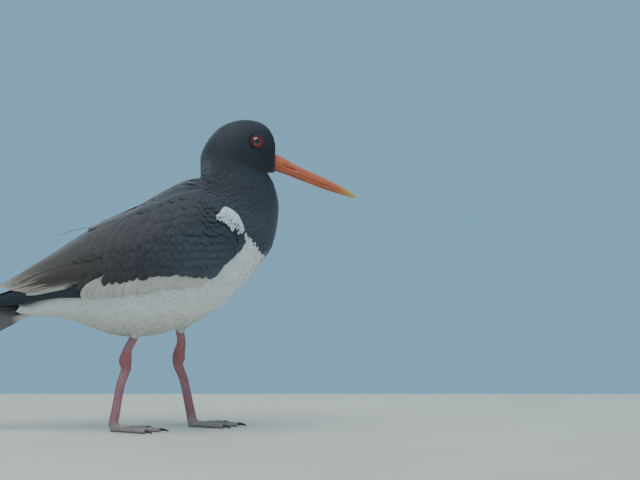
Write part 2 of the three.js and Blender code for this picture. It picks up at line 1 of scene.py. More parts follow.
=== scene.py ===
import math
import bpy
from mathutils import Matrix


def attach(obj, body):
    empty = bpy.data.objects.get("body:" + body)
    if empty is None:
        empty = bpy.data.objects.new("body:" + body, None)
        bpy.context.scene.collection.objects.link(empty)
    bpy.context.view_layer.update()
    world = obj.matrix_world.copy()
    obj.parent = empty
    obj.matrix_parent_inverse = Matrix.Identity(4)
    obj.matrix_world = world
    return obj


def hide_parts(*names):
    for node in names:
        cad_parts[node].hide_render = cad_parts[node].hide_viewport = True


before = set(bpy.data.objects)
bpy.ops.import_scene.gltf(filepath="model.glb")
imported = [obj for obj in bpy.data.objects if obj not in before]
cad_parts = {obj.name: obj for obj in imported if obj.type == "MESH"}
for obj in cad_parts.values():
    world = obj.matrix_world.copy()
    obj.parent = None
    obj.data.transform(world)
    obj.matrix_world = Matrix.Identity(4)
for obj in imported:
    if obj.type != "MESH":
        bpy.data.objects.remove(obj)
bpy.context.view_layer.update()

from types import SimpleNamespace

import bpy
import numpy as np
from mathutils import Matrix, Vector

MM = 0.001
scene = bpy.context.scene

# The camera. It stands for a long lens held just above the ground, level with the bird's
# right side, and its frame is 544 mm wide at the bird.
VIEW_WIDTH = 0.544
VIEW_MIDDLE = Vector((0.1377, 0.0, 0.1615))
VIEW_DISTANCE = 6.0
VIEW_RISE = math.radians(4.3)
SENSOR = 36.0


def stand(name, data, place, way):
    """A camera or a lamp at a place, turned to look along way."""
    thing = bpy.data.objects.new(name, data)
    thing.location = place
    thing.rotation_mode = "QUATERNION"
    thing.rotation_quaternion = way.to_track_quat("-Z", "Y")
    scene.collection.objects.link(thing)
    return thing


camera_data = bpy.data.cameras.new("camera")
camera_data.sensor_width = SENSOR
camera_data.lens = SENSOR * VIEW_DISTANCE / VIEW_WIDTH
camera_data.clip_end = 10 * VIEW_DISTANCE
back_off = Vector((0, -math.cos(VIEW_RISE), math.sin(VIEW_RISE)))
scene.camera = stand("camera", camera_data, VIEW_MIDDLE + back_off * VIEW_DISTANCE, -back_off)

# The floor is a plain pale sheet, flat under the bird, that bends down behind it and so
# leaves a quiet background. It is a stage for the model and no part of it.
FLOOR_HALF, FLOOR_FRONT, FLOOR_FLAT, FLOOR_END = 3.0, -3.0, 0.2, 3.5
BEND_FROM, BEND_TO, BEND_STEPS, BEND_BACK = 0.28, 0.6, 12, 1.2
BEND_AT, BEND_EASE, FLOOR_FALL = 0.31, 0.02, 0.2
FLOOR_THICK, FLOOR_SUNK = 0.01, 1e-5
# the Mix node numbers its factor, its two colours and its colour result like this
MIX_FACTOR, MIX_FIRST, MIX_SECOND, MIX_RESULT = 0, 6, 7, 2


class Wire:
    """An output socket of a node tree, on which + - * add the Math nodes they stand for."""

    def __init__(self, tree, socket=None):
        self.tree = tree
        self.socket = socket

    def node(self, kind, sockets=None, out=0, **settings):
        """Adds a node: its settings first, then values or links for its sockets."""
        made = self.tree.nodes.new(kind)
        for key, value in settings.items():
            setattr(made, key, value)
        for key, value in (sockets or {}).items():
            if isinstance(value, Wire):
                self.tree.links.new(value.socket, made.inputs[key])
            else:
                made.inputs[key].default_value = value
        return Wire(self.tree, made.outputs[out] if len(made.outputs) else None)

    def other(self, name):
        """Another output of the node that this one belongs to."""
        return Wire(self.tree, self.socket.node.outputs[name])

    def maths(self, operation, *values):
        """A Math node on the values, or on this alone."""
        return self.node("ShaderNodeMath", dict(enumerate(values or (self,))), operation=operation)

    def __add__(self, other):
        return self.maths("ADD", self, other)

    def __sub__(self, other):
        return self.maths("SUBTRACT", self, other)

    def __rsub__(self, other):
        return self.maths("SUBTRACT", other, self)

    def __mul__(self, other):
        return self.maths("MULTIPLY", self, other)

    def noise(self, scale, detail):
        """Soft noise at this place."""
        return self.node("ShaderNodeTexNoise", {"Vector": self, "Scale": scale, "Detail": detail})

    def step(self, low, high):
        """0 below low to 1 above high, smoothly."""
        sockets = {"Value": self, "From Min": low, "From Max": high}
        return self.node("ShaderNodeMapRange", sockets, interpolation_type="SMOOTHSTEP")

    def mixed(self, first, second):
        """The colour first where this is 0, second where it is 1."""
        sockets = {MIX_FACTOR: self, MIX_FIRST: first, MIX_SECOND: second}
        return self.node("ShaderNodeMix", sockets, MIX_RESULT, data_type="RGBA", clamp_factor=True)


def finish(name, roughness, **fixed):
    """Starts a material: its place on the object, and a call that joins its sockets."""
    material = bpy.data.materials.new(name)
    material.use_nodes = True
    tree = material.node_tree
    shader = tree.nodes["Principled BSDF"]
    for key, value in {"Roughness": roughness, **fixed}.items():
        shader.inputs[key.replace("_", " ")].default_value = value
    place = Wire(tree).node("ShaderNodeTexCoord", out="Object")

    def join(colour, rough=None, bump=None, strength=0.3, depth=0.0003):
        """Joins colour, roughness and height to the shader, and gives the material."""
        if bump is not None:
            raised = {"Height": bump, "Strength": strength, "Distance": depth}
            bump = place.node("ShaderNodeBump", raised)
        for socket, value in (("Base Color", colour), ("Roughness", rough), ("Normal", bump)):
            if value is not None:
                tree.links.new(value.socket, shader.inputs[socket])
        return material

    return place, join


def srgb(*colour):
    """An 8-bit display colour as the linear values that a material takes."""
    linear = [v / 255 / 12.92 if v <= 10.31 else ((v / 255 + 0.055) / 1.055) ** 2.4 for v in colour]
    return (*linear, 1.0)


def mesh_piece(name, points, faces, material, layers=(), colours=None, smooth=True, crease=None):
    """One finished piece from arrays: faces is a list of index arrays, one row a face,
    layers are (name, uv of each point), and colours are one a point."""
    mesh = bpy.data.meshes.new(name)
    points = np.asarray(points, np.float32).reshape(-1, 3)
    loops = np.concatenate([np.asarray(f).reshape(-1) for f in faces])
    sizes = np.concatenate([np.full(len(f), np.shape(f)[1]) for f in faces])
    mesh.vertices.add(len(points))
    mesh.vertices.foreach_set("co", points.reshape(-1))
    mesh.loops.add(len(loops))
    mesh.loops.foreach_set("vertex_index", loops.astype(np.int32))
    mesh.polygons.add(len(sizes))
    starts = np.concatenate([[0], np.cumsum(sizes)[:-1]])
    mesh.polygons.foreach_set("loop_start", starts.astype(np.int32))
    mesh.update(calc_edges=True)
    mesh.polygons.foreach_set("use_smooth", np.full(len(sizes), smooth))
    for layer, uv in layers:
        made = mesh.uv_layers.new(name=layer)
        made.data.foreach_set("uv", np.asarray(uv, np.float32)[loops].reshape(-1))
    if colours is not None:
        attribute = mesh.color_attributes.new("plumage", "FLOAT_COLOR", "POINT")
        rgba = np.ones((len(points), 4), np.float32)
        rgba[:, :3] = colours
        attribute.data.foreach_set("color", rgba.reshape(-1))
    mesh.validate()
    if crease is not None:
        mesh.set_sharp_from_angle(angle=crease)
    mesh.materials.append(material)
    piece = bpy.data.objects.new(name, mesh)
    scene.collection.objects.link(piece)
    return piece


def ring_faces(rows, around):
    """Quads between closed rings of points, and the two end caps."""
    i, j = np.meshgrid(np.arange(rows - 1), np.arange(around), indexing="ij")
    a = i * around + j
    b = i * around + (j + 1) % around
    quads = np.stack([a, b, b + around, a + around], -1).reshape(-1, 4)
    first = np.arange(around)[::-1][None, :]
    last = (rows - 1) * around + np.arange(around)[None, :]
    return [quads, first, last]


def outward(points, faces):
    """The faces, turned over where the closed surface they make is inside out."""
    a, b, c, d = np.moveaxis(points[faces[0]], 1, 0)
    volume = sum(np.einsum("ij,ij->i", a, np.cross(p, q)).sum() for p, q in ((b, c), (c, d)))
    return faces if volume > 0 else [f[:, ::-1] for f in faces]


place, join = finish("pale_floor", 0.9)
floor_colour = place.noise(7.0, 8.0).mixed(srgb(206, 203, 190), srgb(194, 190, 176))
floor_material = join(floor_colour, bump=place.noise(900.0, 2.0), strength=0.15)
bend = np.linspace(BEND_FROM, BEND_TO, BEND_STEPS)
floor_y = np.concatenate([[FLOOR_FRONT, FLOOR_FLAT], bend, [BEND_BACK, FLOOR_END]])
floor_z = -FLOOR_FALL * (np.hypot((floor_y - BEND_AT).clip(0), BEND_EASE) - BEND_EASE)
floor_top = np.stack([floor_y, floor_z - FLOOR_SUNK], -1)
floor_under = np.stack([floor_y, floor_z - FLOOR_THICK], -1)
floor_outline = np.concatenate([floor_top, floor_under[::-1]])
floor_points = np.concatenate([
    np.column_stack([np.full(len(floor_outline), x), floor_outline]) for x in (-FLOOR_HALF, FLOOR_HALF)
])
floor_faces = outward(floor_points, ring_faces(2, len(floor_outline)))
floor = mesh_piece("floor", floor_points, floor_faces, floor_material, smooth=False)

# The light is soft, from a pale blue room and three wide round lamps. The front lamp is
# kept out of mirror reflections, so that it puts no glint in the eyes.
ROOM_COLOUR, ROOM_STRENGTH = srgb(138, 190, 220), 0.85
LAMP_AIM = Vector((0, 0, 0.13))
world = bpy.data.worlds.new("studio")
world.use_nodes = True
background = world.node_tree.nodes["Background"]
background.inputs["Color"].default_value = ROOM_COLOUR
background.inputs["Strength"].default_value = ROOM_STRENGTH
scene.world = world
for name, place, size, power in (
    ("lamp_above", (-0.3, -0.5, 2.3), 1.9, 38.0),
    ("lamp_front", (1.5, -2.4, 1.4), 2.0, 17.0),
    ("lamp_behind", (-1.0, 2.2, 1.7), 2.0, 18.0),
):
    lamp_data = bpy.data.lights.new(name, "AREA")
    lamp_data.shape = "DISK"
    lamp_data.size = size
    lamp_data.energy = power
    lamp = stand(name, lamp_data, place, LAMP_AIM - Vector(place))
    lamp.visible_glossy = name != "lamp_front"

# The flesh is the bird's body under its coat. One skin runs from the tail to the bill's
# base, with the two thighs on it. Each row of the form is a flattened ring between a
# point of the back and one of the belly: back x, z, belly x, z and half width, in mm.
FLESH = np.array([
    [-117, 108.5, -117, 98.0, 12.5],
    [-104.5, 112, -104.5, 96, 11.5],
    [-88, 127, -88, 96, 18],
    [-70.5, 145, -70.5, 92, 27],
    [-49.5, 163, -49.5, 84, 35.5],
    [-28, 179, -28, 79.5, 42],
    [-6.8, 193, -4.3, 80.5, 45.5],
    [12, 203.5, 20.4, 87, 47.5],
    [26, 209.5, 44.2, 98, 47],
    [34.5, 213, 64.6, 116, 44],
    [36.2, 216, 85, 139.5, 39],
    [36.2, 220.5, 97.4, 157.5, 34.5],
    [36, 226, 102.6, 188, 28],
    [36.4, 233, 98.8, 208, 23],
    [40, 242, 93.6, 217.5, 20.6],
    [46.8, 251.8, 93.6, 218.4, 20],
    [56.2, 259.4, 94.2, 218.8, 19.4],
    [68, 263.2, 95.2, 218.9, 18.2],
    [79.6, 263.3, 96.2, 218.8, 16.8],
    [89.8, 260, 97.2, 218.6, 14.2],
    [96.4, 252.4, 98.2, 218.5, 11],
    [99.6, 241, 99.4, 218.8, 7],
], float)
# The hollows of the eye and of the lore before it, and the swell of the cheek: side-view
# x and z, reach along each, and depth, in mm.
FACE_DENTS = ((84.5, 246.5, 7.5, 7.5, -0.7), (95, 238, 5, 4, -0.6), (80, 231, 8, 6, 0.8))
EYE_X, EYE_Z = FACE_DENTS[0][:2]
FACE_HALF = 8
# Between the wings the back is filled up: turn, rows from and to, rows of ease, and rise.
SADDLE_TURN, SADDLE_FROM, SADDLE_TO, SADDLE_EASE, SADDLE_RISE = 0.42, 3.6, 9.6, 1.5, 3.4
# How deep the skin lies under the tips of the coat, by row.
COAT_DEPTHS = [2.0, 2.4, 2.8, *[3.0] * 6, 2.8, 2.6, 2.4, 2.2, 2.0, 1.7, 1.5, 1.4, 1.3, 1.2, 1.1, 0.9, 0.7]
HALVINGS = 24


def smooth_rows(table, t):
    """Smooth values between the rows of a table, at row numbers t."""
    table = np.asarray(table, float)
    last = len(table) - 1
    t = np.clip(np.asarray(t, float), 0, last)
    k = np.clip(np.floor(t).astype(int), 0, last - 1)
    f = (t - k)[..., None]
    a, b, c, d = (table[np.clip(k + i, 0, last)] for i in (-1, 0, 1, 2))
    m0, m1 = (c - a) / 2, (d - b) / 2
    return (
        b * (2 * f**3 - 3 * f**2 + 1)
        + m0 * (f**3 - 2 * f**2 + f)
        + c * (3 * f**2 - 2 * f**3)
        + m1 * (f**3 - f**2)
    )


def ring_point(table, t, turn, lift=0.0):
    """Points of a body form in mm: t is the row number along it, and turn goes from 0
    at the back to pi at the belly, positive on the left and negative on the right."""
    t, turn, lift = np.broadcast_arrays(np.asarray(t, float), turn, lift)
    bx, bz, vx, vz, half = np.moveaxis(smooth_rows(table, t), -1, 0)
    ux, uz = (bx - vx) / 2, (bz - vz) / 2
    tall = np.hypot(ux, uz)
    ux, uz = ux / tall, uz / tall
    c, s = np.cos(turn), np.sin(turn)
    oy, oc = s * tall, c * half
    size = np.hypot(oy, oc) + 1e-9
    oy, oc = oy / size, oc / size
    return np.stack(
        [
            (bx + vx) / 2 + ux * (c * tall + oc * lift),
            half * s + oy * lift,
            (bz + vz) / 2 + uz * (c * tall + oc * lift),
        ],
        -1,
    )


def row_of(table, x, turn):
    """The row number at which a body form reaches x, at that turn."""
    low = np.zeros(np.broadcast(x, turn).shape)
    high = low + len(table) - 1
    for _ in range(HALVINGS):
        mid = (low + high) / 2
        short = ring_point(table, mid, turn)[..., 0] < x
        low, high = np.where(short, mid, low), np.where(short, high, mid)
    return (low + high) / 2


def turn_of(table, x, z):
    """The turn, on the left, at which a body form passes the side-view point x, z."""
    low = np.full(np.broadcast(x, z).shape, 0.02)
    high = math.pi - low
    for _ in range(HALVINGS):
        mid = (low + high) / 2
        above = ring_point(table, row_of(table, x, mid), mid)[..., 2] > z
        low, high = np.where(above, mid, low), np.where(above, high, mid)
    return (low + high) / 2


def unit(v):
    """The vectors at length 1."""
    return v / (np.linalg.norm(v, axis=-1, keepdims=True) + 1e-12)


def flesh_point(t, turn, lift=0.0):
    """The surface of the plumage, or points lifted off it, with the dents of the face."""
    p = ring_point(FLESH, t, turn, 0.0)
    side = np.clip(np.abs(p[..., 1]) / FACE_HALF, 0, 1)
    dent = 0.0
    for x, z, wide, tall, depth in FACE_DENTS:
        off = np.hypot((p[..., 0] - x) / wide, (p[..., 2] - z) / tall)
        dent = dent + depth * np.exp(-(off**2)) * side
    saddle = np.clip((t - SADDLE_FROM) / SADDLE_EASE, 0, 1) * np.clip((SADDLE_TO - t) / SADDLE_EASE, 0, 1)
    dent = dent + SADDLE_RISE * (np.exp(-((turn / SADDLE_TURN) ** 2)) * saddle)
    return ring_point(FLESH, t, turn, lift + dent)


def coat_depth(t):
    """How deep the skin lies at row number t, in mm."""
    return np.interp(t, np.arange(len(COAT_DEPTHS)), COAT_DEPTHS)


PX_SIZE, PX_MIDDLE, PX_FLOOR = 0.85, 158, 430


def px(x, y):
    """A place read off the photograph, in its pixels, as side-view x and z in mm."""
    return (x - PX_MIDDLE) * PX_SIZE, (PX_FLOOR - y) * PX_SIZE


def tint(*colour):
    """A display colour for the plumage attribute."""
    return np.array(srgb(*colour)[:3])


def blend(first, second, share):
    """The colour first where share is 0, second where it is 1."""
    return first * (1 - share) + second * share


# The markings are the same for skin and coat. The hood's edge runs from the breast up to
# the wing's bend and back to the tail, with black above it and white below. Painted light
# and shade lie over them: a painted highlight on the nape, painted light on the lower
# black and painted shade on the lower white.
HOOD_EDGE = np.array([px(*p) for p in (
    (330, 256), (268, 257), (265, 257), (261, 251), (258, 246), (254.4, 240.6), (250.6, 235.8),
    (249.6, 236.5), (248.4, 234), (246, 231), (240, 224), (236, 217), (226, 212), (190, 220), (150, 232),
    (100, 262), (62, 284), (40, 288), (-60, 300),
)][::-1])
BLACK, BROWN, BUFF = tint(51, 53, 58), tint(74, 64, 56), tint(160, 146, 128)
# The second white is the same white in painted shade.
WHITE, WHITE_IN_PAINTED_SHADE, NAPE_PAINTED_HIGHLIGHT = tint(232, 230, 224), tint(194, 187, 174), tint(116, 118, 118)
RUMP_BEHIND, RUMP_BELOW = -78, 142
BROWN_BEHIND, BROWN_OVER, BROWN_TONE = 8, 90, 0.8
# A painted highlight lies on the black nape, a grey patch where light catches it: its place, reach and
# share.
NAPE_X, NAPE_Z, NAPE_WIDE, NAPE_TALL, NAPE_SHARE = 41, 225, 6, 7, 0.45
# Painted light and shade: the black is painted lighter below one height, the white darker below another.
LIT_BELOW, LIT_BY, SHADED_BELOW, EDGE_OVER = 208, 0.95, 105, 30


def body_colour(p, shift=0.0):
    """The colour of the body plumage at points p in mm, with painted light and shade; shift moves its edges.
    """
    x, z = p[..., 0], p[..., 2]
    hood = z > np.interp(x + shift, *HOOD_EDGE.T) + shift
    rump = (x < RUMP_BEHIND) & (z < RUMP_BELOW)
    age = np.clip((BROWN_BEHIND - x) / BROWN_OVER, 0, 1)[..., None]
    # painted highlight: grey on the nape, where light catches the black
    nape_highlight = np.exp(-(((x - NAPE_X) / NAPE_WIDE) ** 2) - ((z - NAPE_Z) / NAPE_TALL) ** 2)
    black = blend(BLACK, BROWN * BROWN_TONE, age)
    black = blend(black, NAPE_PAINTED_HIGHLIGHT, nape_highlight[..., None] * NAPE_SHARE)
    # painted light: the black is painted lighter low down, against the shade on its downward-facing parts
    black = black * (1 + LIT_BY * np.clip((LIT_BELOW - z) / EDGE_OVER, 0, 1))[..., None]
    # painted shade: the white is painted darker towards the bottom of the body
    white = blend(WHITE, WHITE_IN_PAINTED_SHADE, np.clip((SHADED_BELOW - z) / EDGE_OVER, 0, 1)[..., None])
    return np.where((hood & ~rump)[..., None], black, white)


# The plumage finish is soft, with barbs that slant from each shaft to the edges, split
# here and there. The Vane map holds centimetres across and along each feather.
BARBS_PER_CM, BARB_SLANT, BARB_FRAY, BARB_HEIGHT = 22.0, 0.9, 0.12, 0.3
SHAFT_HALF = (0.012, 0.035)
place, join = finish("plumage", 0.6, Sheen_Weight=0.2, Sheen_Roughness=0.45, Specular_IOR_Level=0.32)
painted = place.node("ShaderNodeAttribute", attribute_name="plumage")
mottle = {"Value": place.noise(120.0, 4.0), "To Min": 0.86, "To Max": 1.14}
mottled = {MIX_FACTOR: 1.0, MIX_FIRST: painted, MIX_SECOND: place.node("ShaderNodeMapRange", mottle)}
tinted = place.node("ShaderNodeMix", mottled, MIX_RESULT, data_type="RGBA", blend_type="MULTIPLY")
vane_map = place.node("ShaderNodeUVMap", uv_map="Vane")
vane_x = place.node("ShaderNodeSeparateXYZ", {"Vector": vane_map})
off_shaft = vane_x.maths("ABSOLUTE")
slant = vane_x.other("Y") - off_shaft * BARB_SLANT + vane_map.noise(6.0, 3.0) * BARB_FRAY
barbs = (slant * (2 * math.pi * BARBS_PER_CM)).maths("SINE")
shaft = 1 - off_shaft.step(*SHAFT_HALF)
plumage = join(tinted, bump=barbs * BARB_HEIGHT + shaft, strength=0.3, depth=0.00015)


def plumed(name, points, faces, bake_uv, barb_uv, colours, crease=None):
    """A piece in the plumage finish, on its body."""
    layers = (("OFBake", bake_uv), ("Vane", barb_uv))
    made = mesh_piece(name, points * MM, faces, plumage, layers, colours, crease=crease)
    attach(made, "root")
    return made


def body_uv(t, turn):
    """The body's map: along the flesh, and once round it."""
    return np.stack([t / (len(FLESH) - 1), turn / (2 * math.pi) + 0.5], -1).reshape(-1, 2)


def limb_point(rows, t, turn, lift=0.0):
    """Points round a limb through rows of x, y, z, half depth and half width: t is the
    row number along it, and turn is the angle about it."""
    t, turn, lift = np.broadcast_arrays(np.asarray(t, float), turn, lift)
    form = smooth_rows(rows, t)
    along = unit(smooth_rows(rows, t + 0.05)[..., :3] - smooth_rows(rows, t - 0.05)[..., :3])
    sideways = unit(np.array([0.0, 1.0, 0.0]) - along * along[..., 1:2])
    high = np.cross(along, sideways) * ((form[..., 3] + lift) * np.cos(turn))[..., None]
    broad = sideways * ((form[..., 4] + lift) * np.sin(turn))[..., None]
    return form[..., :3] + high + broad


def limb(rows, stations, around):
    """The points and faces of a closed limb."""
    t = np.linspace(0, len(rows) - 1, stations)[:, None]
    turn = np.linspace(0, 2 * math.pi, around, endpoint=False)
    points = limb_point(rows, t, turn).reshape(-1, 3)
    return points, outward(points, ring_faces(stations, around))


# Where each leg leaves the belly, bends at the ankle and meets the ground: side-view
# points in mm, how far out from the middle it is from the belly down, and how far the
# feathered cuff of the thigh is drawn up.
LEGS = {
    word: dict(zip(("side", "belly", "ankle", "foot", "spread", "cuff"), places))
    for word, places in (
        ("right", (-1, (-20, 80), (-27.5, 61), (-37.5, 8), (15, 19, 22), 3.4)),
        ("left", (1, (18.5, 85), (17, 61), (28, 8), (15, 18, 20), 0.4)),
    )
}
SKIN_ROWS, SKIN_AROUND, SKIN_TONE = 150, 96, 0.8
THIGH_STATIONS, THIGH_AROUND, THIGH_PATCH = 14, 28, (0.25, 0.02)
skin_t = np.linspace(0, len(FLESH) - 1, SKIN_ROWS)
skin_turn = np.linspace(-math.pi, math.pi, SKIN_AROUND, endpoint=False)
grid_t, grid_turn = np.meshgrid(skin_t, skin_turn, indexing="ij")
skin_points = flesh_point(grid_t, grid_turn, -coat_depth(grid_t)).reshape(-1, 3)
skin_faces = outward(skin_points, ring_faces(SKIN_ROWS, SKIN_AROUND))
skin_uv = body_uv(grid_t, grid_turn)
thigh_rows = {}
for word, leg in LEGS.items():
    (bx, bz), hip, cuff = leg["belly"], leg["spread"][0] * leg["side"], leg["cuff"]
    thigh_rows[word] = [
        (bx + 8, hip, bz + 16, 8.6, 7.6),
        (bx + 4.4, hip, bz + 7.5, 6.6, 6.0),
        (bx + 1, hip, bz + 1.8 + cuff, 4.8, 4.3),
        (bx - 0.9, hip, bz - 3.0 + cuff, 3.7, 3.3),
    ]
    thigh_points, thigh_faces = limb(thigh_rows[word], THIGH_STATIONS, THIGH_AROUND)
    skin_faces = skin_faces + [f + len(skin_points) for f in thigh_faces]
    skin_points = np.concatenate([skin_points, thigh_points])
    skin_uv = np.concatenate([skin_uv, np.tile([THIGH_PATCH], (len(thigh_points), 1))])
skin_colours = body_colour(skin_points) * SKIN_TONE
skin = plumed("skin", skin_points, skin_faces, skin_uv, skin_uv, skin_colours)
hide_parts("torso", "neck", "head", "thigh_right", "thigh_left")

# The body coat is of contour feathers, short vanes rooted in the skin that lie back
# towards the tail and overlap, smallest on the face. Each is one closed thin blade.
BLADE_CREASE, BLADE_THICK = math.radians(70), 0.12
COAT_SHARES = np.array([0.0, 0.36, 0.66, 0.88, 1.0])
COAT_OUTLINE = np.array([0.6, 0.95, 1.0, 0.7, 0.12])
COAT_BANDS = [
    # name, slot, rows from and to, spacing, length and width in mm
    ("coat_rump", "plumage_white", 0.6, 4.6, 1.8, 11.0, 5.2),
    ("coat_belly", "plumage_white", 4.4, 8.0, 1.75, 11.5, 5.4),
    ("coat_breast", "plumage_white", 7.8, 11.6, 1.5, 9.5, 4.2),
    ("coat_neck", "plumage_black", 11.4, 14.2, 1.1, 6.5, 2.6),
    ("coat_crown", "plumage_black", 14.0, 17.6, 0.82, 4.8, 1.8),
    ("coat_face", "plumage_black", 17.4, 20.9, 0.7, 3.4, 1.4),
]
COAT_SEED, COAT_TRIES, COAT_ROOT, COAT_CAMBER = 100, 240000, 0.4, 0.06
# how uneven the feathers are in length, swerve, lift, width, markings and tone
LENGTH_SPREAD, SWERVE, LIFT_SPREAD, WIDTH_SPREAD = (0.85, 1.2), 0.1, (-0.1, 0.14), (0.85, 1.15)
MARK_WANDER, TONE_SPREAD, BAKE_PATCH = 0.9, (0.95, 1.05), 0.003
ROOT_TONE, TIP_LIGHTER, RIM_LIGHTER = 0.93, 0.05, 0.03
WING_OUTLINE = np.array([
    (-92, 143), (-58, 167), (-20, 186), (14, 199), (34, 205), (52, 198), (66, 184), (74, 168),
    (66, 150), (52, 141), (34, 133), (14, 127), (-20, 122), (-58, 118), (-92, 117),
], float)
WING_MARGIN, EYE_BARE = 6.0, 5.6


def vanes(at, out, width, outline, camber, thick, across=3, ridge=0.0):
    """Closed blades through lines of points: at and out are (feather, station, xyz), and
    camber is the droop of the edges. The result also holds, for each point, the number
    of its feather, its place across (u, -1 to 1) and along (v, 0 to 1) the feather, and
    that place in centimetres for the barbs."""
    count, stations = at.shape[:2]
    along = unit(np.gradient(at, axis=1))
    sideways = unit(np.cross(along, out))
    up = np.cross(sideways, along)
    top = np.linspace(-1, 1, across)
    u = np.concatenate([top, top[-2:0:-1]])
    ring = len(u)
    upper = np.arange(ring) < across
    half = width[:, None] / 2 * outline
    bulge = np.where(upper, 1.0, -1.0) * thick / 2 * (1 - u**2) + ridge * (np.abs(u) < 0.05) * upper
    height = -camber * outline[:, None] ** 2 * u**2 + bulge
    points = (
        at[:, :, None]
        + sideways[:, :, None] * (half[..., None] * u)[..., None]
        + up[:, :, None] * height[..., None]
    ).reshape(-1, 3)
    f, s, r = np.meshgrid(np.arange(count), np.arange(stations - 1), np.arange(ring), indexing="ij")
    a = (f * stations + s) * ring + r
    b = (f * stations + s) * ring + (r + 1) % ring
    quads = np.stack([a, b, b + ring, a + ring], -1).reshape(-1, 4)
    base = np.arange(count)[:, None] * stations * ring
    first = base + np.arange(ring)[::-1]
    last = base + (stations - 1) * ring + np.arange(ring)
    steps = np.linalg.norm(np.diff(at, axis=1), axis=-1)
    run = np.concatenate([np.zeros((count, 1)), np.cumsum(steps, 1)], 1)

    def flat(values):
        return np.broadcast_to(values, (count, stations, ring)).reshape(-1)

    return SimpleNamespace(
        count=count,
        points=points,
        faces=outward(points, [quads, first, last]),
        feather=np.repeat(np.arange(count), stations * ring),
        u=flat(u),
        v=flat((run / run[:, -1:])[..., None]),
        barb_uv=np.stack([flat(half[..., None] * u), flat(run[..., None])], -1) / 10,
    )


def inside(polygon, x, z):
    """True where the side-view points x, z lie in the polygon."""
    found = np.zeros(np.shape(x), bool)
    for (x0, z0), (x1, z1) in zip(polygon, np.roll(polygon, -1, axis=0)):
        crosses = (z0 > z) != (z1 > z)
        rise = z1 - z0 if z1 != z0 else 1.0
        found ^= crosses & (x < (x1 - x0) * (z - z0) / rise + x0)
    return found


def bears_coat(p):
    """True off the eye and off what lies under the folded wing, seen from the side."""
    x, z = p[..., 0], p[..., 2]
    covered = WING_OUTLINE - unit(WING_OUTLINE - WING_OUTLINE.mean(0)) * WING_MARGIN
    off_eye = (np.hypot(x - EYE_X, z - EYE_Z) > EYE_BARE) | (np.abs(p[..., 1]) < FACE_HALF)
    return off_eye & ~inside(covered, x, z)


def scattered(t_low, t_high, spacing, seed):
    """Roots spread evenly over a band of the flesh, as row numbers and turns."""
    rng = np.random.default_rng(seed)
    t = rng.uniform(t_low, t_high, COAT_TRIES)
    turn = rng.uniform(-math.pi, math.pi, COAT_TRIES)
    p = flesh_point(t, turn)
    sides = flesh_point(t + 0.02, turn) - p, flesh_point(t, turn + 0.02) - p
    area = np.linalg.norm(np.cross(*sides), axis=-1)
    chosen = (rng.uniform(0, np.quantile(area, 0.995), COAT_TRIES) < area) & bears_coat(p)
    t, turn, p = t[chosen], turn[chosen], p[chosen]
    near = [(i, j, k) for i in (-1, 0, 1) for j in (-1, 0, 1) for k in (-1, 0, 1)]
    cells, kept = {}, []
    keys = np.floor(p / spacing).astype(int).tolist()
    for n, ((kx, ky, kz), q) in enumerate(zip(keys, p.tolist())):
        others = (cells.get((kx + i, ky + j, kz + k)) for i, j, k in near)
        if all(
            o is None or (q[0] - o[0]) ** 2 + (q[1] - o[1]) ** 2 + (q[2] - o[2]) ** 2 >= spacing**2
            for o in others
        ):
            cells[kx, ky, kz] = q
            kept.append(n)
    return t[kept], turn[kept]


def contour_feathers(t, turn, length, width, seed):
    """Blades of contour feathers that follow the flesh towards the tail, after the places
    near their tips where their markings are read."""
    rng = np.random.default_rng(seed)
    lengths = length * rng.uniform(*LENGTH_SPREAD, len(t))
    swerve = rng.normal(0, SWERVE, len(t))
    speed = np.linalg.norm(flesh_point(t + 0.01, turn) - flesh_point(t - 0.01, turn), axis=-1) / 0.02
    girth = np.linalg.norm(flesh_point(t, turn + 0.01) - flesh_point(t, turn - 0.01), axis=-1) / 0.02
    along_t = t[:, None] - (lengths / speed)[:, None] * COAT_SHARES
    along_turn = turn[:, None] + (swerve * lengths / np.maximum(girth, 2.0))[:, None] * COAT_SHARES
    depth = coat_depth(t)[:, None] + COAT_ROOT
    rise = 1 - (1 - COAT_SHARES) ** 1.6
    lift = -depth + (depth + rng.uniform(*LIFT_SPREAD, len(t))[:, None]) * rise
    surface = flesh_point(along_t, along_turn, lift)
    out = unit(flesh_point(along_t, along_turn, lift + 1) - surface)
    # past the end of the tail head the feathers run on straight
    surface[..., 0] += np.minimum(along_t, 0.0) * speed[:, None]
    widths = width * rng.uniform(*WIDTH_SPREAD, len(t))
    return surface[:, 3], vanes(surface, out, widths, COAT_OUTLINE, COAT_CAMBER * width, BLADE_THICK)


def shaded(colours, blades, lighter=RIM_LIGHTER):
    """The colours of feathers with their own tones: darker at the root, paler at the rim."""
    rim = np.clip(np.maximum(np.abs(blades.u) ** 3, blades.v**4), 0, 1)
    return colours * (ROOT_TONE + TIP_LIGHTER * blades.v + lighter * rim)[:, None]


def coat_piece(name, blades, root_uv, colours):
    """A piece of the coat; on the map each feather is a small patch about its root."""
    bake_uv = root_uv[blades.feather] + BAKE_PATCH * np.stack([blades.u / 2, blades.v - 0.5], -1)
    colours = shaded(colours, blades)
    plumed(name, blades.points, blades.faces, bake_uv, blades.barb_uv, colours, BLADE_CREASE)


for name, slot, t_low, t_high, spacing, length, width in COAT_BANDS:
    seed = COAT_SEED + len(name) + int(t_low * 10)
    t, turn = scattered(t_low, t_high, spacing, seed)
    near_tip, blades = contour_feathers(t, turn, length, width, seed + 1)
    rng = np.random.default_rng(seed + 2)
    own = body_colour(near_tip, rng.normal(0, MARK_WANDER, len(t)))
    own = own * rng.uniform(*TONE_SPREAD, len(t))[:, None]
    coat_piece(name, blades, body_uv(t, turn), own[blades.feather])

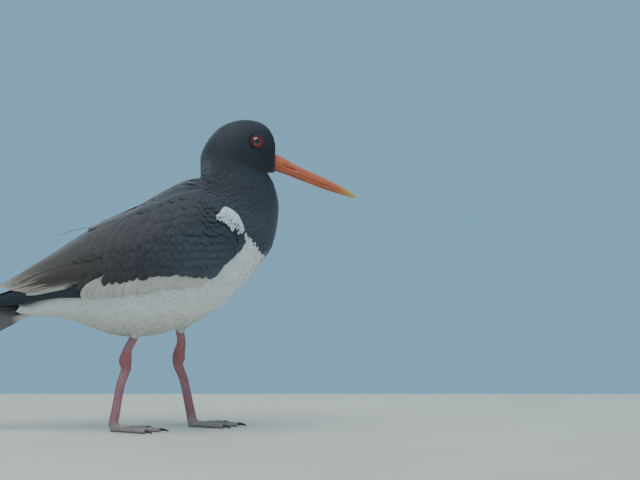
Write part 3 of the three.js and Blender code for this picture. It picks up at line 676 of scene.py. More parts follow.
# Short soft feathers clothe the thighs down to the bare shank, each row over the next.
# They are rooted in the skin as the coat's are, and the last row droops over the edge.
THIGH_LENGTH, THIGH_WIDTH, THIGH_CAMBER, THIGH_ROW, THIGH_SEED = 0.8, 2.3, 0.12, 26, 61
THIGH_FROM, THIGH_TO, THIGH_STEP, ROW_WANDER, TURN_WANDER = 0.1, 2.45, 0.15, 0.07, 0.12
THIGH_SUNK, THIGH_RISE = -0.7, 0.9
CUFF_FROM, CUFF_END, CUFF_DROOP = 2.6, 2.98, 0.9 / 0.4
rng = np.random.default_rng(THIGH_SEED)
for word in LEGS:
    around = np.arange(THIGH_ROW) / THIGH_ROW * 2 * math.pi
    t, turn = (v.reshape(-1) for v in np.meshgrid(np.arange(THIGH_FROM, THIGH_TO, THIGH_STEP), around))
    t = t + rng.uniform(-ROW_WANDER, ROW_WANDER, len(t))
    turn = turn + rng.uniform(-TURN_WANDER, TURN_WANDER, len(t))
    reach = t[:, None] + THIGH_LENGTH * rng.uniform(0.85, 1.1, (len(t), 1)) * COAT_SHARES
    reach = np.minimum(reach, CUFF_END)
    lift = THIGH_SUNK + THIGH_RISE * COAT_SHARES + rng.uniform(-0.1, 0.15, (len(t), 1))
    at = limb_point(thigh_rows[word], reach, turn[:, None], lift)
    out = unit(limb_point(thigh_rows[word], reach, turn[:, None], lift + 1) - at)
    at[:, :, 2] -= CUFF_DROOP * np.clip(reach - CUFF_FROM, 0, 1)
    widths = THIGH_WIDTH * rng.uniform(*WIDTH_SPREAD, len(t))
    blades = vanes(at, out, widths, COAT_OUTLINE, THIGH_CAMBER, BLADE_THICK)
    root_uv = THIGH_PATCH + np.stack([0.02 * t, turn / 90], -1)
    coat_piece(f"coat_thigh_{word}", blades, root_uv, body_colour(blades.points))

# The folded wings. Each lies on the body as a thin pad that carries its feathers in
# tiers: primaries and secondaries lowest, then tertials, coverts and scapulars.
COAT = np.array([
    [-168, 113, -168, 93, 8.5],
    [-134, 122, -134, 98, 13],
    [-109, 136.8, -109, 97, 21],
    [-83, 153.8, -83, 96, 31],
    [-58, 171, -58, 89, 40.5],
    [-32, 185, -32, 80.5, 48],
    [-7, 198, -6, 81, 52],
    [18, 208.5, 22, 88, 53.5],
    [34.5, 213.5, 44.5, 98, 52],
    [41, 214.5, 66, 115.5, 47.5],
    [46, 216, 86, 138, 42],
    [50, 219, 99.5, 163, 36.5],
], float)
WING_TOP = np.array([
    (-96, 142), (-58, 168), (-20, 187), (14, 200), (34, 206), (52, 199), (66, 184), (73.5, 168),
], float)
WING_LOWER = np.array([
    (-96, 117), (-58, 118.5), (-20, 122), (14, 127), (34, 133), (52, 141), (66, 150), (73.5, 164),
], float)
PAD_ROWS, PAD_ACROSS = 40, 14
PAD_SUNK, PAD_UNDER, PAD_DEEP, PAD_TONE = -1.9, 0.6, 3.4, 0.8
PAD_MAP = np.array([[-170, 90], [260, 130]])
WING_SEED, ROOT_WANDER, LONG_WANDER, SHORT_WANDER, LIFT_WANDER = 7, 0.5, 0.4, 0.9, 0.1
QUILL_THICK, QUILL_RIDGE, LONG_ACROSS, SHORT_ACROSS = 0.22, 0.12, 7, 5
# A flight feather is long and narrow, and a covert short and blunt: shares of the
# length, and the outline there as shares of the half width.
FLIGHT = np.array([
    [0.0, 0.1, 0.25, 0.4, 0.56, 0.7, 0.81, 0.9, 0.96, 1.0],
    [0.42, 0.7, 0.88, 0.97, 1.0, 0.98, 0.9, 0.72, 0.46, 0.1],
])
COVERT = np.array([
    [0.0, 0.22, 0.44, 0.64, 0.79, 0.9, 0.97, 1.0],
    [0.62, 0.86, 0.98, 1.0, 0.93, 0.72, 0.4, 0.1],
])
WING_TIERS = [
    # kind, count, first root and tip, last root and tip, lift of root and tip,
    # rise of the tips' lift over the tier, width, camber
    ("primaries", 7, (-66, 124.5), (-120, 116.5), (-58, 116.4), (-161, 105.0), (-1.9, -0.9), -1.6, 9.5, 0.4),
    ("secondaries", 2, (-40, 129), (-106, 118.4), (-44, 127), (-112, 116.4), (-2.5, -0.8), 0.2, 6, 0.3),
    ("tertials", 7, (-30, 185), (-135, 120.5), (-30, 138), (-118, 120), (-2.0, 1.6), -1.6, 16, 0.9),
    ("great", 17, (-44, 137), (-65, 115), (54, 152), (33, 127.5), (-1.9, -0.4), 0.0, 10.5, 0.6),
    ("median", 16, (-28, 146), (-46, 124.5), (60, 157), (42, 135.5), (-1.8, 0.1), 0.0, 11, 0.6),
    ("lesser", 4, (-44, 140), (-67, 123), (-30, 152), (-49, 137.5), (-1.7, 0.2), 0.0, 8.5, 0.5),
    ("lesser", 16, (-27, 155), (-48, 138.5), (64, 162), (48, 146), (-1.7, 0.3), 0.0, 10, 0.5),
    ("lesser", 17, (-30, 162), (-45, 146), (66, 167), (52, 152), (-1.6, 0.4), 0.0, 9.5, 0.5),
    ("lesser", 16, (-24, 168), (-38, 154), (68, 172), (55, 158), (-1.6, 0.5), 0.0, 9, 0.5),
    ("lesser", 15, (-16, 173), (-30, 161), (69, 176), (57, 164), (-1.6, 0.5), 0.0, 9, 0.5),
    ("lesser", 14, (-8, 178), (-21, 168), (69, 181), (58, 170), (-1.6, 0.6), 0.0, 8.5, 0.5),
    ("scapular", 11, (-34, 168), (-72, 146), (46, 184), (20, 172), (-1.6, 0.8), 0.0, 14, 0.9),
    ("scapular", 11, (-30, 175), (-70, 151.5), (48, 190), (24, 179), (-1.6, 0.9), 0.0, 13.5, 0.9),
    ("scapular", 11, (-28, 180.5), (-66, 157.5), (47, 196), (24, 186), (-1.6, 1.0), 0.0, 13, 0.9),
    ("scapular", 10, (-26, 185), (-62, 163.5), (44, 201), (21, 192), (-1.6, 1.1), 0.0, 12.5, 0.9),
    ("scapular", 10, (-24, 188.5), (-60, 169), (40, 206), (17, 199.5), (-1.6, 1.2), 0.0, 11.5, 0.9),
]
# How far the tips of the median coverts stand above a straight line, from the rear:
# they make the ragged upper edge of the white bar. The pale streak lies behind it.
BAR_SHARES = (0, 0.12, 0.3, 0.37, 0.55, 0.66, 0.75, 0.87, 1.0)
BAR_RISE = (3.0, 4.2, 2.8, 6.4, 5.4, 4.4, 2.4, 1.4, -3.6)
STREAK_FROM, REAR_TONE = px(63, 0)[0], 0.8
# How the feathers brown with age towards the rear, with each kind's own share and start,
# and how strongly painted light lightens them low on the front of the wing, against the
# shade that falls there.
AGE_BEHIND, AGE_OVER, AGE_UNEVEN = 26, 130, 10
AGES = {"primaries": (0.15, -0.25), "tertials": (0.3, 0.6)}
WING_PAINTED_LIGHT_BY, WING_PAINTED_LIGHT_BELOW, WING_PAINTED_LIGHT_BEFORE = 1.1, 178, -10
# How strong the worn pale rims are, and where they fade out on the tertials.
FRINGES = {"tertials": 0.95, "scapular": 0.08, "lesser": 0.03, "median": 0.03}
FRINGE_FROM, FRINGE_OVER, TERTIAL_TOP, TERTIAL_FROM = 40, 110, 138, -50
# The wing's front: small marginal coverts over the wrist, denser and shorter forward.
WRIST = np.array([
    (36, 207), (45, 203.5), (54, 198), (62, 190), (68, 181), (74, 173), (76.5, 167), (73.5, 159.5),
    (66, 152), (56, 144), (46, 138.5), (40, 141), (48, 156), (52, 172), (46, 186), (34, 198),
], float)
WRIST_SPACING, WRIST_SEED, WRIST_FROM, WRIST_OVER = 2.9, 31, 36, 38
# how steeply they slant down, by height
SLANT_HEIGHTS, SLANTS = (140, 165, 185, 205), (-0.42, -0.75, -0.62, -0.3)
# The white peak before the wing's bend: its upper edge is a smooth curve under the
# black of the hood, and its feathers hang down over the wing as ragged teeth.
PEAK_TOP = np.array([px(*p) for p in (
    (219, 211), (222.5, 207), (226, 203.5), (232, 206), (237.5, 210.5), (241, 216), (243, 221),
    (244, 225.5),
)])
PEAK_TEETH = np.array([px(*p) for p in (
    (218, 215.5), (221, 217.5), (225, 219), (228.5, 222), (233, 228), (236, 222.5), (239.5, 231),
    (243.2, 229),
)])
PEAK_WHITE = tint(200, 206, 208)
PEAK_COUNT, PEAK_EDGE, PEAK_DEEPEST, PEAK_LENGTHS, PEAK_WIDTHS = 110, 34, 0.62, (0.44, 0.62), (1.8, 2.8)
PEAK_FORM = np.array([COVERT[0], [0.8, 1.0, 0.96, 0.84, 0.66, 0.42, 0.2, 0.06]])


def wing_pad(side):
    """The pad of a folded wing: a thin lens between the wing's upper and lower line."""
    t = np.linspace(0, len(WING_TOP) - 1, PAD_ROWS)
    top, low = smooth_rows(WING_TOP, t), smooth_rows(WING_LOWER, t)
    turn_top, turn_low = (turn_of(COAT, line[:, 0], line[:, 1])[:, None] for line in (top, low))
    share = np.linspace(0, 1, PAD_ACROSS)
    share = np.concatenate([share, share[::-1]])
    under = np.repeat([0.0, 1.0], PAD_ACROSS)
    turn = turn_top + (turn_low - turn_top) * share
    x = top[:, :1] + (low[:, :1] - top[:, :1]) * share
    lift = PAD_SUNK - under * (PAD_UNDER + PAD_DEEP * np.sin(math.pi * share))
    points = ring_point(COAT, row_of(COAT, x, turn), turn * side, lift).reshape(-1, 3)
    return points, outward(points, ring_faces(PAD_ROWS, 2 * PAD_ACROSS))


def over_coat(x, turn, side, lift):
    """Lines of points over the wings' coat, and the ways out of it there."""
    row = row_of(COAT, x, turn)
    at = ring_point(COAT, row, turn * side, lift)
    return at, unit(ring_point(COAT, row, turn * side, lift + 1) - at)


def laid(root, tip, lift, side, form, *blade):
    """Blades over the wings' coat from root to tip, both given in the side view, with
    the lift of each end, the shares and outline of the form, and the rest of vanes."""
    shares, outline = form
    root_turn, tip_turn = (turn_of(COAT, end[:, 0], end[:, 1])[:, None] for end in (root, tip))
    x = root[:, :1] + (tip[:, :1] - root[:, :1]) * shares
    turn = root_turn + (tip_turn - root_turn) * shares
    height = lift[:, :1] + (lift[:, 1:] - lift[:, :1]) * shares
    width, *rest = blade
    return vanes(*over_coat(x, turn, side, height), width, outline, *rest)


def wing_colour(points, kind, feather):
    """The colours of a tier's feathers; each browner towards the wing's rear, with painted light low at the
    front and the white in painted shade.
    """
    x, z = points[:, :1], points[:, 2:]
    if kind in ("secondaries", "great"):
        # the white bar and streak take the white in painted shade
        return np.where((x < STREAK_FROM) | (kind == "great"), WHITE_IN_PAINTED_SHADE, BLACK * REAR_TONE)
    uneven = AGE_UNEVEN * np.sin(np.reshape(feather, (-1, 1)) * 2.3)
    share, start = AGES.get(kind, (1.0, 0.0))
    age = np.clip((AGE_BEHIND - x + uneven) / AGE_OVER, 0, 1) * share + start
    # painted light: the low front of the wing is painted lighter against the shade there
    painted_light = np.clip((WING_PAINTED_LIGHT_BELOW - z) / 30, 0, 1) * np.clip((x - WING_PAINTED_LIGHT_BEFORE) / 50, 0, 1)
    return blend(BLACK, BROWN, age).clip(0.01) * (1 + WING_PAINTED_LIGHT_BY * painted_light)


def fringed(colours, kind, blades):
    """The same colours with the worn, pale rims of the rear feathers."""
    x, z = blades.points[:, 0], blades.points[:, 2]
    narrow = 4 if kind == "tertials" else 8
    rim = np.clip(np.maximum(np.abs(blades.u) ** narrow, blades.v**16), 0, 1)
    rim = rim * FRINGES.get(kind, 0.0) * np.clip((FRINGE_FROM - x) / FRINGE_OVER, 0, 1)
    if kind == "tertials":
        rim = rim * np.clip((TERTIAL_TOP - z) / 12, 0.12, 1.5) * np.clip((TERTIAL_FROM - x) / 40, 0, 1)
    return blend(colours, BUFF, rim[:, None])


def plumes(name, tiers):
    """One piece from tiers of feathers. On the square map each feather stands upright in
    a cell of its own."""
    faces, index, size, count = [], [], 0, 0
    for tier in tiers:
        faces += [f + size for f in tier.faces]
        index.append(count + tier.feather)
        size += len(tier.points)
        count += tier.count
    keys = ("points", "colours", "barb_uv", "u", "v")
    joined = (np.concatenate([getattr(tier, key) for tier in tiers]) for key in keys)
    points, colours, barb_uv, u, v = joined
    side = math.ceil(math.sqrt(count))
    row, column = np.divmod(np.concatenate(index), side)
    bake_uv = np.stack([(column + 0.5 + 0.42 * u) / side, (row + 0.05 + 0.9 * v) / side], -1)
    return plumed(name, points, faces, bake_uv, barb_uv, colours, BLADE_CREASE)


def spread(polygon, spacing, seed, tries=6000):
    """Points spread evenly over a polygon of the side view."""
    rng = np.random.default_rng(seed)
    drawn = rng.uniform(polygon.min(0), polygon.max(0), (tries, 2))
    kept = []
    for q in drawn[inside(polygon, drawn[:, 0], drawn[:, 1])]:
        if all((q[0] - k[0]) ** 2 + (q[1] - k[1]) ** 2 > spacing**2 for k in kept):
            kept.append(q)
    return np.array(kept)


for side, word in ((-1, "right"), (1, "left")):
    pad_points, pad_faces = wing_pad(side)
    pad_uv = (pad_points[:, ::2] - PAD_MAP[0]) / PAD_MAP[1]
    pad_colours = wing_colour(pad_points, "lesser", 0) * PAD_TONE
    pad = plumed(f"wing_pad_{word}", pad_points, pad_faces, pad_uv, pad_uv, pad_colours)
    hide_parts(f"wing_{word}")

    rng = np.random.default_rng(WING_SEED)
    flight, coverts = [], []
    for kind, count, root0, tip0, root1, tip1, lift, rise, width, camber in WING_TIERS:
        long = kind in ("primaries", "secondaries", "tertials")
        share = np.linspace(0, 1, count)[:, None]
        root = np.array(root0) + (np.array(root1) - root0) * share
        root = root + rng.normal(0, ROOT_WANDER, (count, 2))
        tip = np.array(tip0) + (np.array(tip1) - tip0) * share
        tip = tip + rng.normal(0, LONG_WANDER if long else SHORT_WANDER, (count, 2))
        if kind == "median":
            tip[:, 1] += np.interp(share[:, 0], BAR_SHARES, BAR_RISE)
        lifts = np.array(lift) + np.array([0, rise]) * share
        lifts = lifts + rng.normal(0, LIFT_WANDER, (count, 1))
        widths = width * rng.uniform(0.94, 1.06, count)
        form, across = (FLIGHT, LONG_ACROSS) if long else (COVERT, SHORT_ACROSS)
        blades = laid(root, tip, lifts, side, form, widths, camber, QUILL_THICK, across, QUILL_RIDGE)
        tones = rng.uniform(0.93, 1.07, count)[blades.feather][:, None]
        colours = wing_colour(blades.points, kind, blades.feather) * tones
        blades.colours = shaded(fringed(colours, kind, blades), blades)
        (flight if long else coverts).append(blades)

    root = spread(WRIST, WRIST_SPACING, WRIST_SEED)
    forward = np.clip((root[:, 0] - WRIST_FROM) / WRIST_OVER, 0, 1)
    steep = np.interp(root[:, 1], SLANT_HEIGHTS, SLANTS)
    reach = (11 - 3.6 * forward)[:, None] * rng.uniform(0.9, 1.1, (len(root), 1))
    tip = root + unit(np.stack([-np.ones(len(root)), steep], -1)) * reach
    lifts = np.stack([np.full(len(root), PAD_SUNK), 0.35 + rng.uniform(-0.15, 0.2, len(root))], -1)
    blades = laid(root, tip, lifts, side, COVERT, 7.0 - 1.6 * forward, 0.4, 0.2, SHORT_ACROSS, 0.08)
    tones = rng.uniform(0.94, 1.06, len(root))[blades.feather][:, None]
    blades.colours = shaded(wing_colour(blades.points, "lesser", blades.feather) * tones, blades)
    coverts.append(blades)

    # the last feathers of the peak stand in an even row along its upper edge
    loose = PEAK_COUNT - PEAK_EDGE
    share = np.concatenate([rng.uniform(0, 1, loose), np.linspace(0, 1, PEAK_EDGE)])
    depth = np.concatenate([np.linspace(PEAK_DEEPEST, 0.05, loose), np.zeros(PEAK_EDGE)])
    top = smooth_rows(PEAK_TOP, share * (len(PEAK_TOP) - 1))
    drop = smooth_rows(PEAK_TEETH, share * (len(PEAK_TEETH) - 1)) - top
    root = top + drop * depth[:, None]
    reach = np.minimum(depth + rng.uniform(*PEAK_LENGTHS, PEAK_COUNT), 1.0)
    tip = top + drop * reach[:, None]
    tip = tip + rng.normal(0, 0.25, tip.shape)
    lifts = np.stack([-1.6 * depth, 1.6 - 0.8 * depth], -1)
    widths = rng.uniform(*PEAK_WIDTHS, PEAK_COUNT)
    peak = laid(root, tip, lifts, side, PEAK_FORM, widths, 0.2, 0.15)
    peak.colours = np.broadcast_to(PEAK_WHITE, peak.points.shape)
    plumes(f"white_peak_{word}", [peak])
    plumes(f"wing_flight_{word}", flight)
    plumes(f"wing_coverts_{word}", coverts)

# Between the folded wings the lowest feathers of the mantle bridge the hollow of the
# back, so that no gap shows from above. They are rooted like the scapulars beside them.
BRIDGE_FROM, BRIDGE_REACH, BRIDGE_WIDE, BRIDGE_SUNK, BRIDGE_RISE = -36.0, -52.0, 9.0, -2.6, 1.2
BRIDGE_TURNS = np.array([-0.2, 0.2, -0.12, 0.12, -0.05, 0.05, 0.0])[:, None]
BRIDGE_LENGTHS = np.array([0.8, 0.84, 0.92, 0.9, 1.0, 0.96, 0.9])[:, None]
bridge_x = BRIDGE_FROM + BRIDGE_REACH * FLIGHT[0] * BRIDGE_LENGTHS
at, out = over_coat(bridge_x, BRIDGE_TURNS, 1, BRIDGE_SUNK + BRIDGE_RISE * FLIGHT[0])
widths = np.full(len(at), BRIDGE_WIDE)
bridge = vanes(at, out, widths, FLIGHT[1], 0.4, QUILL_THICK, LONG_ACROSS, QUILL_RIDGE)
bridge.colours = shaded(wing_colour(bridge.points, "scapular", bridge.feather), bridge)
plumes("mantle_bridge", [bridge])

# One loose filament stands off the back on the right side. It is the end of a thin
# dark feather that lies loose over the others.
FILAMENT = np.array([
    (-55, -6.5, 172.2), (-62.7, -7.5, 172.2), (-73.4, -8.5, 169.6), (-79, -9, 167.2), (-83, -9, 166.4),
])
FILAMENT_POINTS, FILAMENT_WIDE = 16, 0.9
share = np.linspace(0, 1, FILAMENT_POINTS)
at = smooth_rows(FILAMENT, np.linspace(0, len(FILAMENT) - 1, FILAMENT_POINTS))[None]
out = unit(np.broadcast_to([0.0, -0.5, 1.0], at.shape))
thin = np.interp(share, [0, 0.3, 0.7, 1], [0.5, 0.8, 1.0, 0.3])
filament = vanes(at, out, np.array([FILAMENT_WIDE]), thin, 0.0, 0.25)
filament.colours = np.broadcast_to(BLACK, filament.points.shape)
plumes("loose_filament", [filament])

# The tail: twelve black feathers with white bases, fanned a little and arched like a
# roof, the middle pair on top. All are rooted in the rump.
TAIL_COUNT, TAIL_WIDE = 12, 13.5
# where the middle feathers begin and end, how far out the outer ones do, how far those
# drop, and how far each feather lies over the next, all in mm
TAIL_ROOT, TAIL_TIP, TAIL_ROOT_OUT, TAIL_TIP_OUT = (-110, 105), (-168, 98.5), 7, 21
TAIL_DROP, TAIL_ARCH, TAIL_LEAN, TAIL_LAYER = 22, 1.6, 1.5, 0.62
TAIL_BLACK_FROM = px(24, 0)[0]
TAIL_GREY = tint(86, 82, 79)
TAIL_SHARES = np.array([0.0, 0.12, 0.28, 0.44, 0.6, 0.74, 0.85, 0.93, 0.98, 1.0])
TAIL_OUTLINE = np.array([0.5, 0.62, 0.76, 0.88, 0.96, 1.0, 0.98, 0.86, 0.6, 0.25])
# off is a feather's place from -1 at the right to 1 at the left
off = np.linspace(-1, 1, TAIL_COUNT)
layer = TAIL_LAYER * (1 - np.abs(off)) * (TAIL_COUNT - 1) / 2
root_z = TAIL_ROOT[1] - 5 * off**2 + 0.2 * layer
tip_z = TAIL_TIP[1] - TAIL_DROP * np.abs(off) ** 1.6 + 0.5 * layer
root = np.stack([TAIL_ROOT[0] + 0 * off, TAIL_ROOT_OUT * off, root_z], -1)
tip = np.stack([TAIL_TIP[0] + 5 * off**2, TAIL_TIP_OUT * off, tip_z], -1)
at = root[:, None] + (tip - root)[:, None] * TAIL_SHARES[None, :, None]
at[..., 2] += TAIL_ARCH * np.sin(math.pi * TAIL_SHARES)
lean = TAIL_LEAN * np.sign(off) * np.abs(off) ** 0.6
out = unit(np.stack([0 * off, lean, 1 + 0 * off], -1))[:, None] + 0 * at
tail = vanes(at, out, np.full(TAIL_COUNT, TAIL_WIDE), TAIL_OUTLINE, 0.4, 0.3, LONG_ACROSS, 0.15)
# the black begins further back on the lower feathers
x, z = tail.points[:, 0], tail.points[:, 2]
edge = TAIL_BLACK_FROM - 0.4 * (TAIL_ROOT[1] - z).clip(0, 20) + 1.2 * np.sin(tail.feather * 2.4)
# the white bases take the white in painted shade
tail.colours = shaded(np.where((x < edge)[:, None], TAIL_GREY, WHITE_IN_PAINTED_SHADE), tail, 0.04)
tail = plumes("tail_feathers", [tail])
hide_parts("tail")

# The bill: two blades of horn, orange with a yellower tip, closed on the line of the
# mouth, with a long slit of a nostril low on each side of the upper blade.
BILL = np.array([
    # share of the length, depth above the mouth line, depth below, half width
    [-0.04, 9.6, 4.2, 5.4],
    [0.08, 8.6, 4.1, 5.2],
    [0.2, 6.9, 4.0, 4.6],
    [0.4, 5.6, 4.2, 4.0],
    [0.62, 4.8, 4.0, 3.1],
    [0.82, 3.6, 3.0, 2.0],
    [0.94, 2.2, 1.8, 1.2],
    [1.0, 0.9, 0.7, 0.7],
])
GAPE = np.array([99.5, 0, 224.7])
BILL_WAY = np.array([168.0, 0, 198.0]) - GAPE
BILL_UP = unit(np.array([-BILL_WAY[2], 0, BILL_WAY[0]]))
BILL_STATIONS, BILL_AROUND, BILL_SEAM, BILL_BOW = 90, 34, 0.12, 0.5
BILL_LIGHT, BILL_RED, BILL_TIP = srgb(204, 106, 66), srgb(172, 80, 56), srgb(204, 158, 70)
# the slit and the shallow groove it lies in: share of the length, height, reach along
# each, how deep, and how steep its walls
NOSTRIL = ((0.17, 2.5, 0.085, 0.85, 0.34, 4), (0.24, 2.6, 0.2, 1.5, 0.1, 2))
place, join = finish("bill_horn", 0.42, Coat_Weight=0.12, Coat_Roughness=0.3)
drawn_out = {"Vector": place, "Rotation": (0, 0.37, 0), "Scale": (30, 260, 260)}
streaks = place.node("ShaderNodeMapping", drawn_out).noise(1.0, 5.0)
place_x = place.node("ShaderNodeSeparateXYZ", {"Vector": place})
horn = streaks.step(0.2, 0.95).mixed(BILL_LIGHT, BILL_RED)
horn = (place_x + streaks * 0.012).step(0.153, 0.172).mixed(horn, BILL_TIP)
bill_material = join(horn, streaks * 0.2 + 0.34, streaks, 0.06, 0.0002)
rows = smooth_rows(BILL, np.linspace(0, len(BILL) - 1, BILL_STATIONS))
share, above, below, half = np.moveaxis(rows, -1, 0)
middle = GAPE + BILL_WAY * share[:, None]
middle = middle + BILL_UP * (BILL_BOW * np.sin(math.pi * np.clip(share, 0, 1)))[:, None]
around = np.linspace(0, math.pi, BILL_AROUND)
for node, tall, seam in (("bill_upper", above, BILL_SEAM), ("bill_lower", -below, -BILL_SEAM)):
    height = seam + (tall[:, None] - seam) * np.sin(around) ** 0.85
    cut = 1.0
    for along, high, long, wide, deep, steep in NOSTRIL if node == "bill_upper" else ():
        off = np.hypot((share[:, None] - along) / long, (height - high) / wide)
        cut = cut - deep * np.exp(-(off**steep))
    out = (half[:, None] * np.cos(around) * cut)[..., None] * np.array([0, 1.0, 0])
    points = (middle[:, None] + BILL_UP * height[..., None] + out).reshape(-1, 3)
    faces = outward(points, ring_faces(BILL_STATIONS, BILL_AROUND))
    blade = mesh_piece(f"{node}_horn", points * MM, faces, bill_material)
    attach(blade, "root")
    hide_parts(node)

# The eyes: wet balls with a red iris round a black pupil, each in a ring of bare
# orange-red skin that is the lids' rim.
EYE_RADIUS, EYE_BULGE, IRIS, PUPIL_SHARE = 6.2, 1.7, 4.15, 0.5
EYE_RINGS, EYE_AROUND = 40, 56
LID_RADIUS, LID_OFFSET, LID_HALF, LID_HIGH, LID_LONGER = 4.7, 0.25, 0.75, 0.8, 0.06
LID_SEAT, LID_RINGS, LID_AROUND = 4.75, 16, 72
HEAD_ROW = 15
HEAD = FLESH[HEAD_ROW:]


def head_point(x, z):
    """The point of the left side of the head at the side-view point x, z."""
    turn = turn_of(HEAD, x, z)
    return ring_point(FLESH, row_of(HEAD, x, turn) + HEAD_ROW, turn)


def lathe(outline, axis, middle, around):
    """Points of an outline of radius and height turned about an axis."""
    aside = unit(np.cross(axis, [0, 0, 1.0]))
    upright = np.cross(aside, axis)
    a = np.linspace(0, 2 * math.pi, around, endpoint=False)
    wheel = np.cos(a)[:, None] * aside + np.sin(a)[:, None] * upright
    return middle + wheel[:, None] * outline[:, :1] + axis * outline[:, 1:]


place, join = finish("eye_ball", 0.06, Coat_Weight=1.0, Coat_Roughness=0.02)
ring = place.node("ShaderNodeAttribute", out="Fac", attribute_name="off_axis")
iris = place.noise(1400.0, 3.0).mixed(srgb(84, 14, 10), srgb(140, 32, 20))
iris = ring.step(0.8, 1.0).mixed(iris, srgb(70, 16, 12))
pupil = ring.step(PUPIL_SHARE - 0.03, PUPIL_SHARE + 0.03)
eye_material = join(pupil.mixed(srgb(4, 4, 5), iris))
place, join = finish("lid_skin", 0.45)
beads = place.node("ShaderNodeTexVoronoi", {"Vector": place, "Scale": 1500.0})
lid_colour = beads.step(0.1, 0.8).mixed(srgb(118, 42, 36), srgb(88, 28, 24))
lid_material = join(lid_colour, bump=beads, strength=0.5)

above, under, ahead, behind = (
    head_point(x, z) for x, z in ((84.5, 248.5), (84.5, 244.5), (86.5, 246.5), (82.5, 246.5))
)
eye_axis = unit(np.cross(above - under, behind - ahead))
eye_axis = eye_axis * np.sign(eye_axis[1])
seat = head_point(EYE_X, EYE_Z)
depth = EYE_BULGE - EYE_RADIUS
polar = np.linspace(0.004, math.pi - 0.004, EYE_RINGS)
ball_outline = np.stack([EYE_RADIUS * np.sin(polar), depth + EYE_RADIUS * np.cos(polar)], -1)
off_axis = np.where(polar < math.pi / 2, EYE_RADIUS * np.sin(polar) / IRIS, 2.0)
swing = np.linspace(0, 2 * math.pi, LID_RINGS, endpoint=False)
rim_height = depth + math.sqrt(EYE_RADIUS**2 - LID_SEAT**2) + LID_OFFSET
rim = np.stack([LID_RADIUS + LID_HALF * np.cos(swing), rim_height + LID_HIGH * np.sin(swing)], -1)
around = np.arange(LID_AROUND) / LID_AROUND * 2 * math.pi
crinkle = 0.07 * np.sin(around * 26) + 0.05 * np.sin(around * 41 + 1)
crinkle = (crinkle[:, None] * np.sin(swing).clip(0, 1))[..., None]
i, j = np.meshgrid(np.arange(LID_AROUND), np.arange(LID_RINGS), indexing="ij")
i_next, j_next = (i + 1) % LID_AROUND * LID_RINGS, (j + 1) % LID_RINGS
rim_faces = np.stack([i * LID_RINGS + j, i * LID_RINGS + j_next, i_next + j_next, i_next + j], -1)
for side, word in ((-1, "right"), (1, "left")):
    axis, middle = eye_axis * np.array([1, side, 1]), seat * np.array([1, side, 1])
    points = np.swapaxes(lathe(ball_outline, axis, middle, EYE_AROUND), 0, 1).reshape(-1, 3)
    faces = outward(points, ring_faces(EYE_RINGS, EYE_AROUND))
    ball = mesh_piece(f"eye_ball_{word}", points * MM, faces, eye_material)
    attribute = ball.data.attributes.new("off_axis", "FLOAT", "POINT")
    attribute.data.foreach_set("value", np.repeat(off_axis, EYE_AROUND).astype(np.float32))
    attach(ball, "root")
    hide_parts(f"eye_{word}")

    points = lathe(rim, axis, middle, LID_AROUND) + axis * crinkle
    # the ring is a little longer fore and aft, as lids are
    points = points + np.array([1.0, 0, 0]) * (points - middle)[..., :1] * LID_LONGER
    points = points.reshape(-1, 3)
    faces = outward(points, [rim_faces.reshape(-1, 4)])
    lid = mesh_piece(f"lid_ring_{word}", points * MM, faces, lid_material)
    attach(lid, "root")
    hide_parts(f"lid_{word}")

# The legs: scaly pink skin over bone, greyer on the three toes, which end in dark
# claws. Each leg is one skin from the belly to the toe tips.
TOES = (("inner", -31, 30), ("middle", 4, 38), ("outer", 36, 32))
TOE_HALF_HEIGHT, TOE_HALF_WIDTH, CLAW_LENGTH, TOE_ROOT, FOOT_AHEAD = 2.1, 2.7, 7.5, 10.5, 1.6
# how thick a toe is at shares of its length beyond the root, with its pads
TOE_SHARES = (0.14, 0.32, 0.5, 0.7, 0.86, 1.0)
TOE_THICK = (0.9, 1.03, 0.87, 0.95, 0.86, 0.7)
# a claw's rows: how far beyond the toe, height, half depth and half width
CLAW_ROWS = (
    (-1.2, 2.0, 1.2, 1.1), (0.8, 2.2, 1.35, 1.15), (3.2, 2.1, 1.15, 0.95), (5.6, 1.4, 0.75, 0.6),
    (CLAW_LENGTH, 0.35, 0.16, 0.14),
)
VOXEL, EASE_SHARE, EASE_ROUNDS = 0.00055, 0.5, 5
# stations along and points round a shin, a toe and a claw
SHIN_GRID, TOE_GRID, CLAW_GRID = (80, 28), (44, 20), (24, 16)
KNEE_HEIGHT = 0.061
place, join = finish("leg_skin", 0.55)
seams = {"Vector": place, "Scale": 620.0}
seams = 1 - place.node("ShaderNodeTexVoronoi", seams, feature="DISTANCE_TO_EDGE").step(0.02, 0.16)
blush = place.noise(55.0, 4.0)
height = place.node("ShaderNodeSeparateXYZ", {"Vector": place}, "Z")
pink = blush.step(0.3, 0.75).mixed(srgb(172, 106, 114), srgb(190, 132, 134))
knee = (height - KNEE_HEIGHT).maths("ABSOLUTE").step(0.002, 0.016)
pink = knee.mixed(srgb(176, 98, 98), pink)
pink = (height + blush * 0.006).step(0.005, 0.016).mixed(srgb(168, 152, 144), pink)
pink = (seams * 0.55).mixed(pink, srgb(112, 80, 80))
leg_material = join(pink, bump=1 - seams, strength=0.35, depth=0.00025)
place, join = finish("claw_horn", 0.35, Coat_Weight=0.2)
growth = place.noise(500.0, 3.0)
claw_material = join(growth.mixed(srgb(34, 30, 30), srgb(62, 56, 54)), bump=growth, strength=0.2)


def flattened(rows, stations, around):
    """A limb with what is below the floor laid flat on it."""
    points, faces = limb(rows, stations, around)
    points[:, 2] = np.maximum(points[:, 2], 0)
    return points, faces


def toe_way(leg, turn):
    """The way a toe points, as x and y."""
    way = math.radians(turn) * leg["side"]
    return math.cos(way), math.sin(way)


def toe_place(leg, turn, d, *rest):
    """A row of a toe, d mm from the leg's middle line: x, y and the rest."""
    ahead, aside = toe_way(leg, turn)
    return (leg["foot"][0] + FOOT_AHEAD + ahead * d, leg["spread"][2] * leg["side"] + aside * d, *rest)


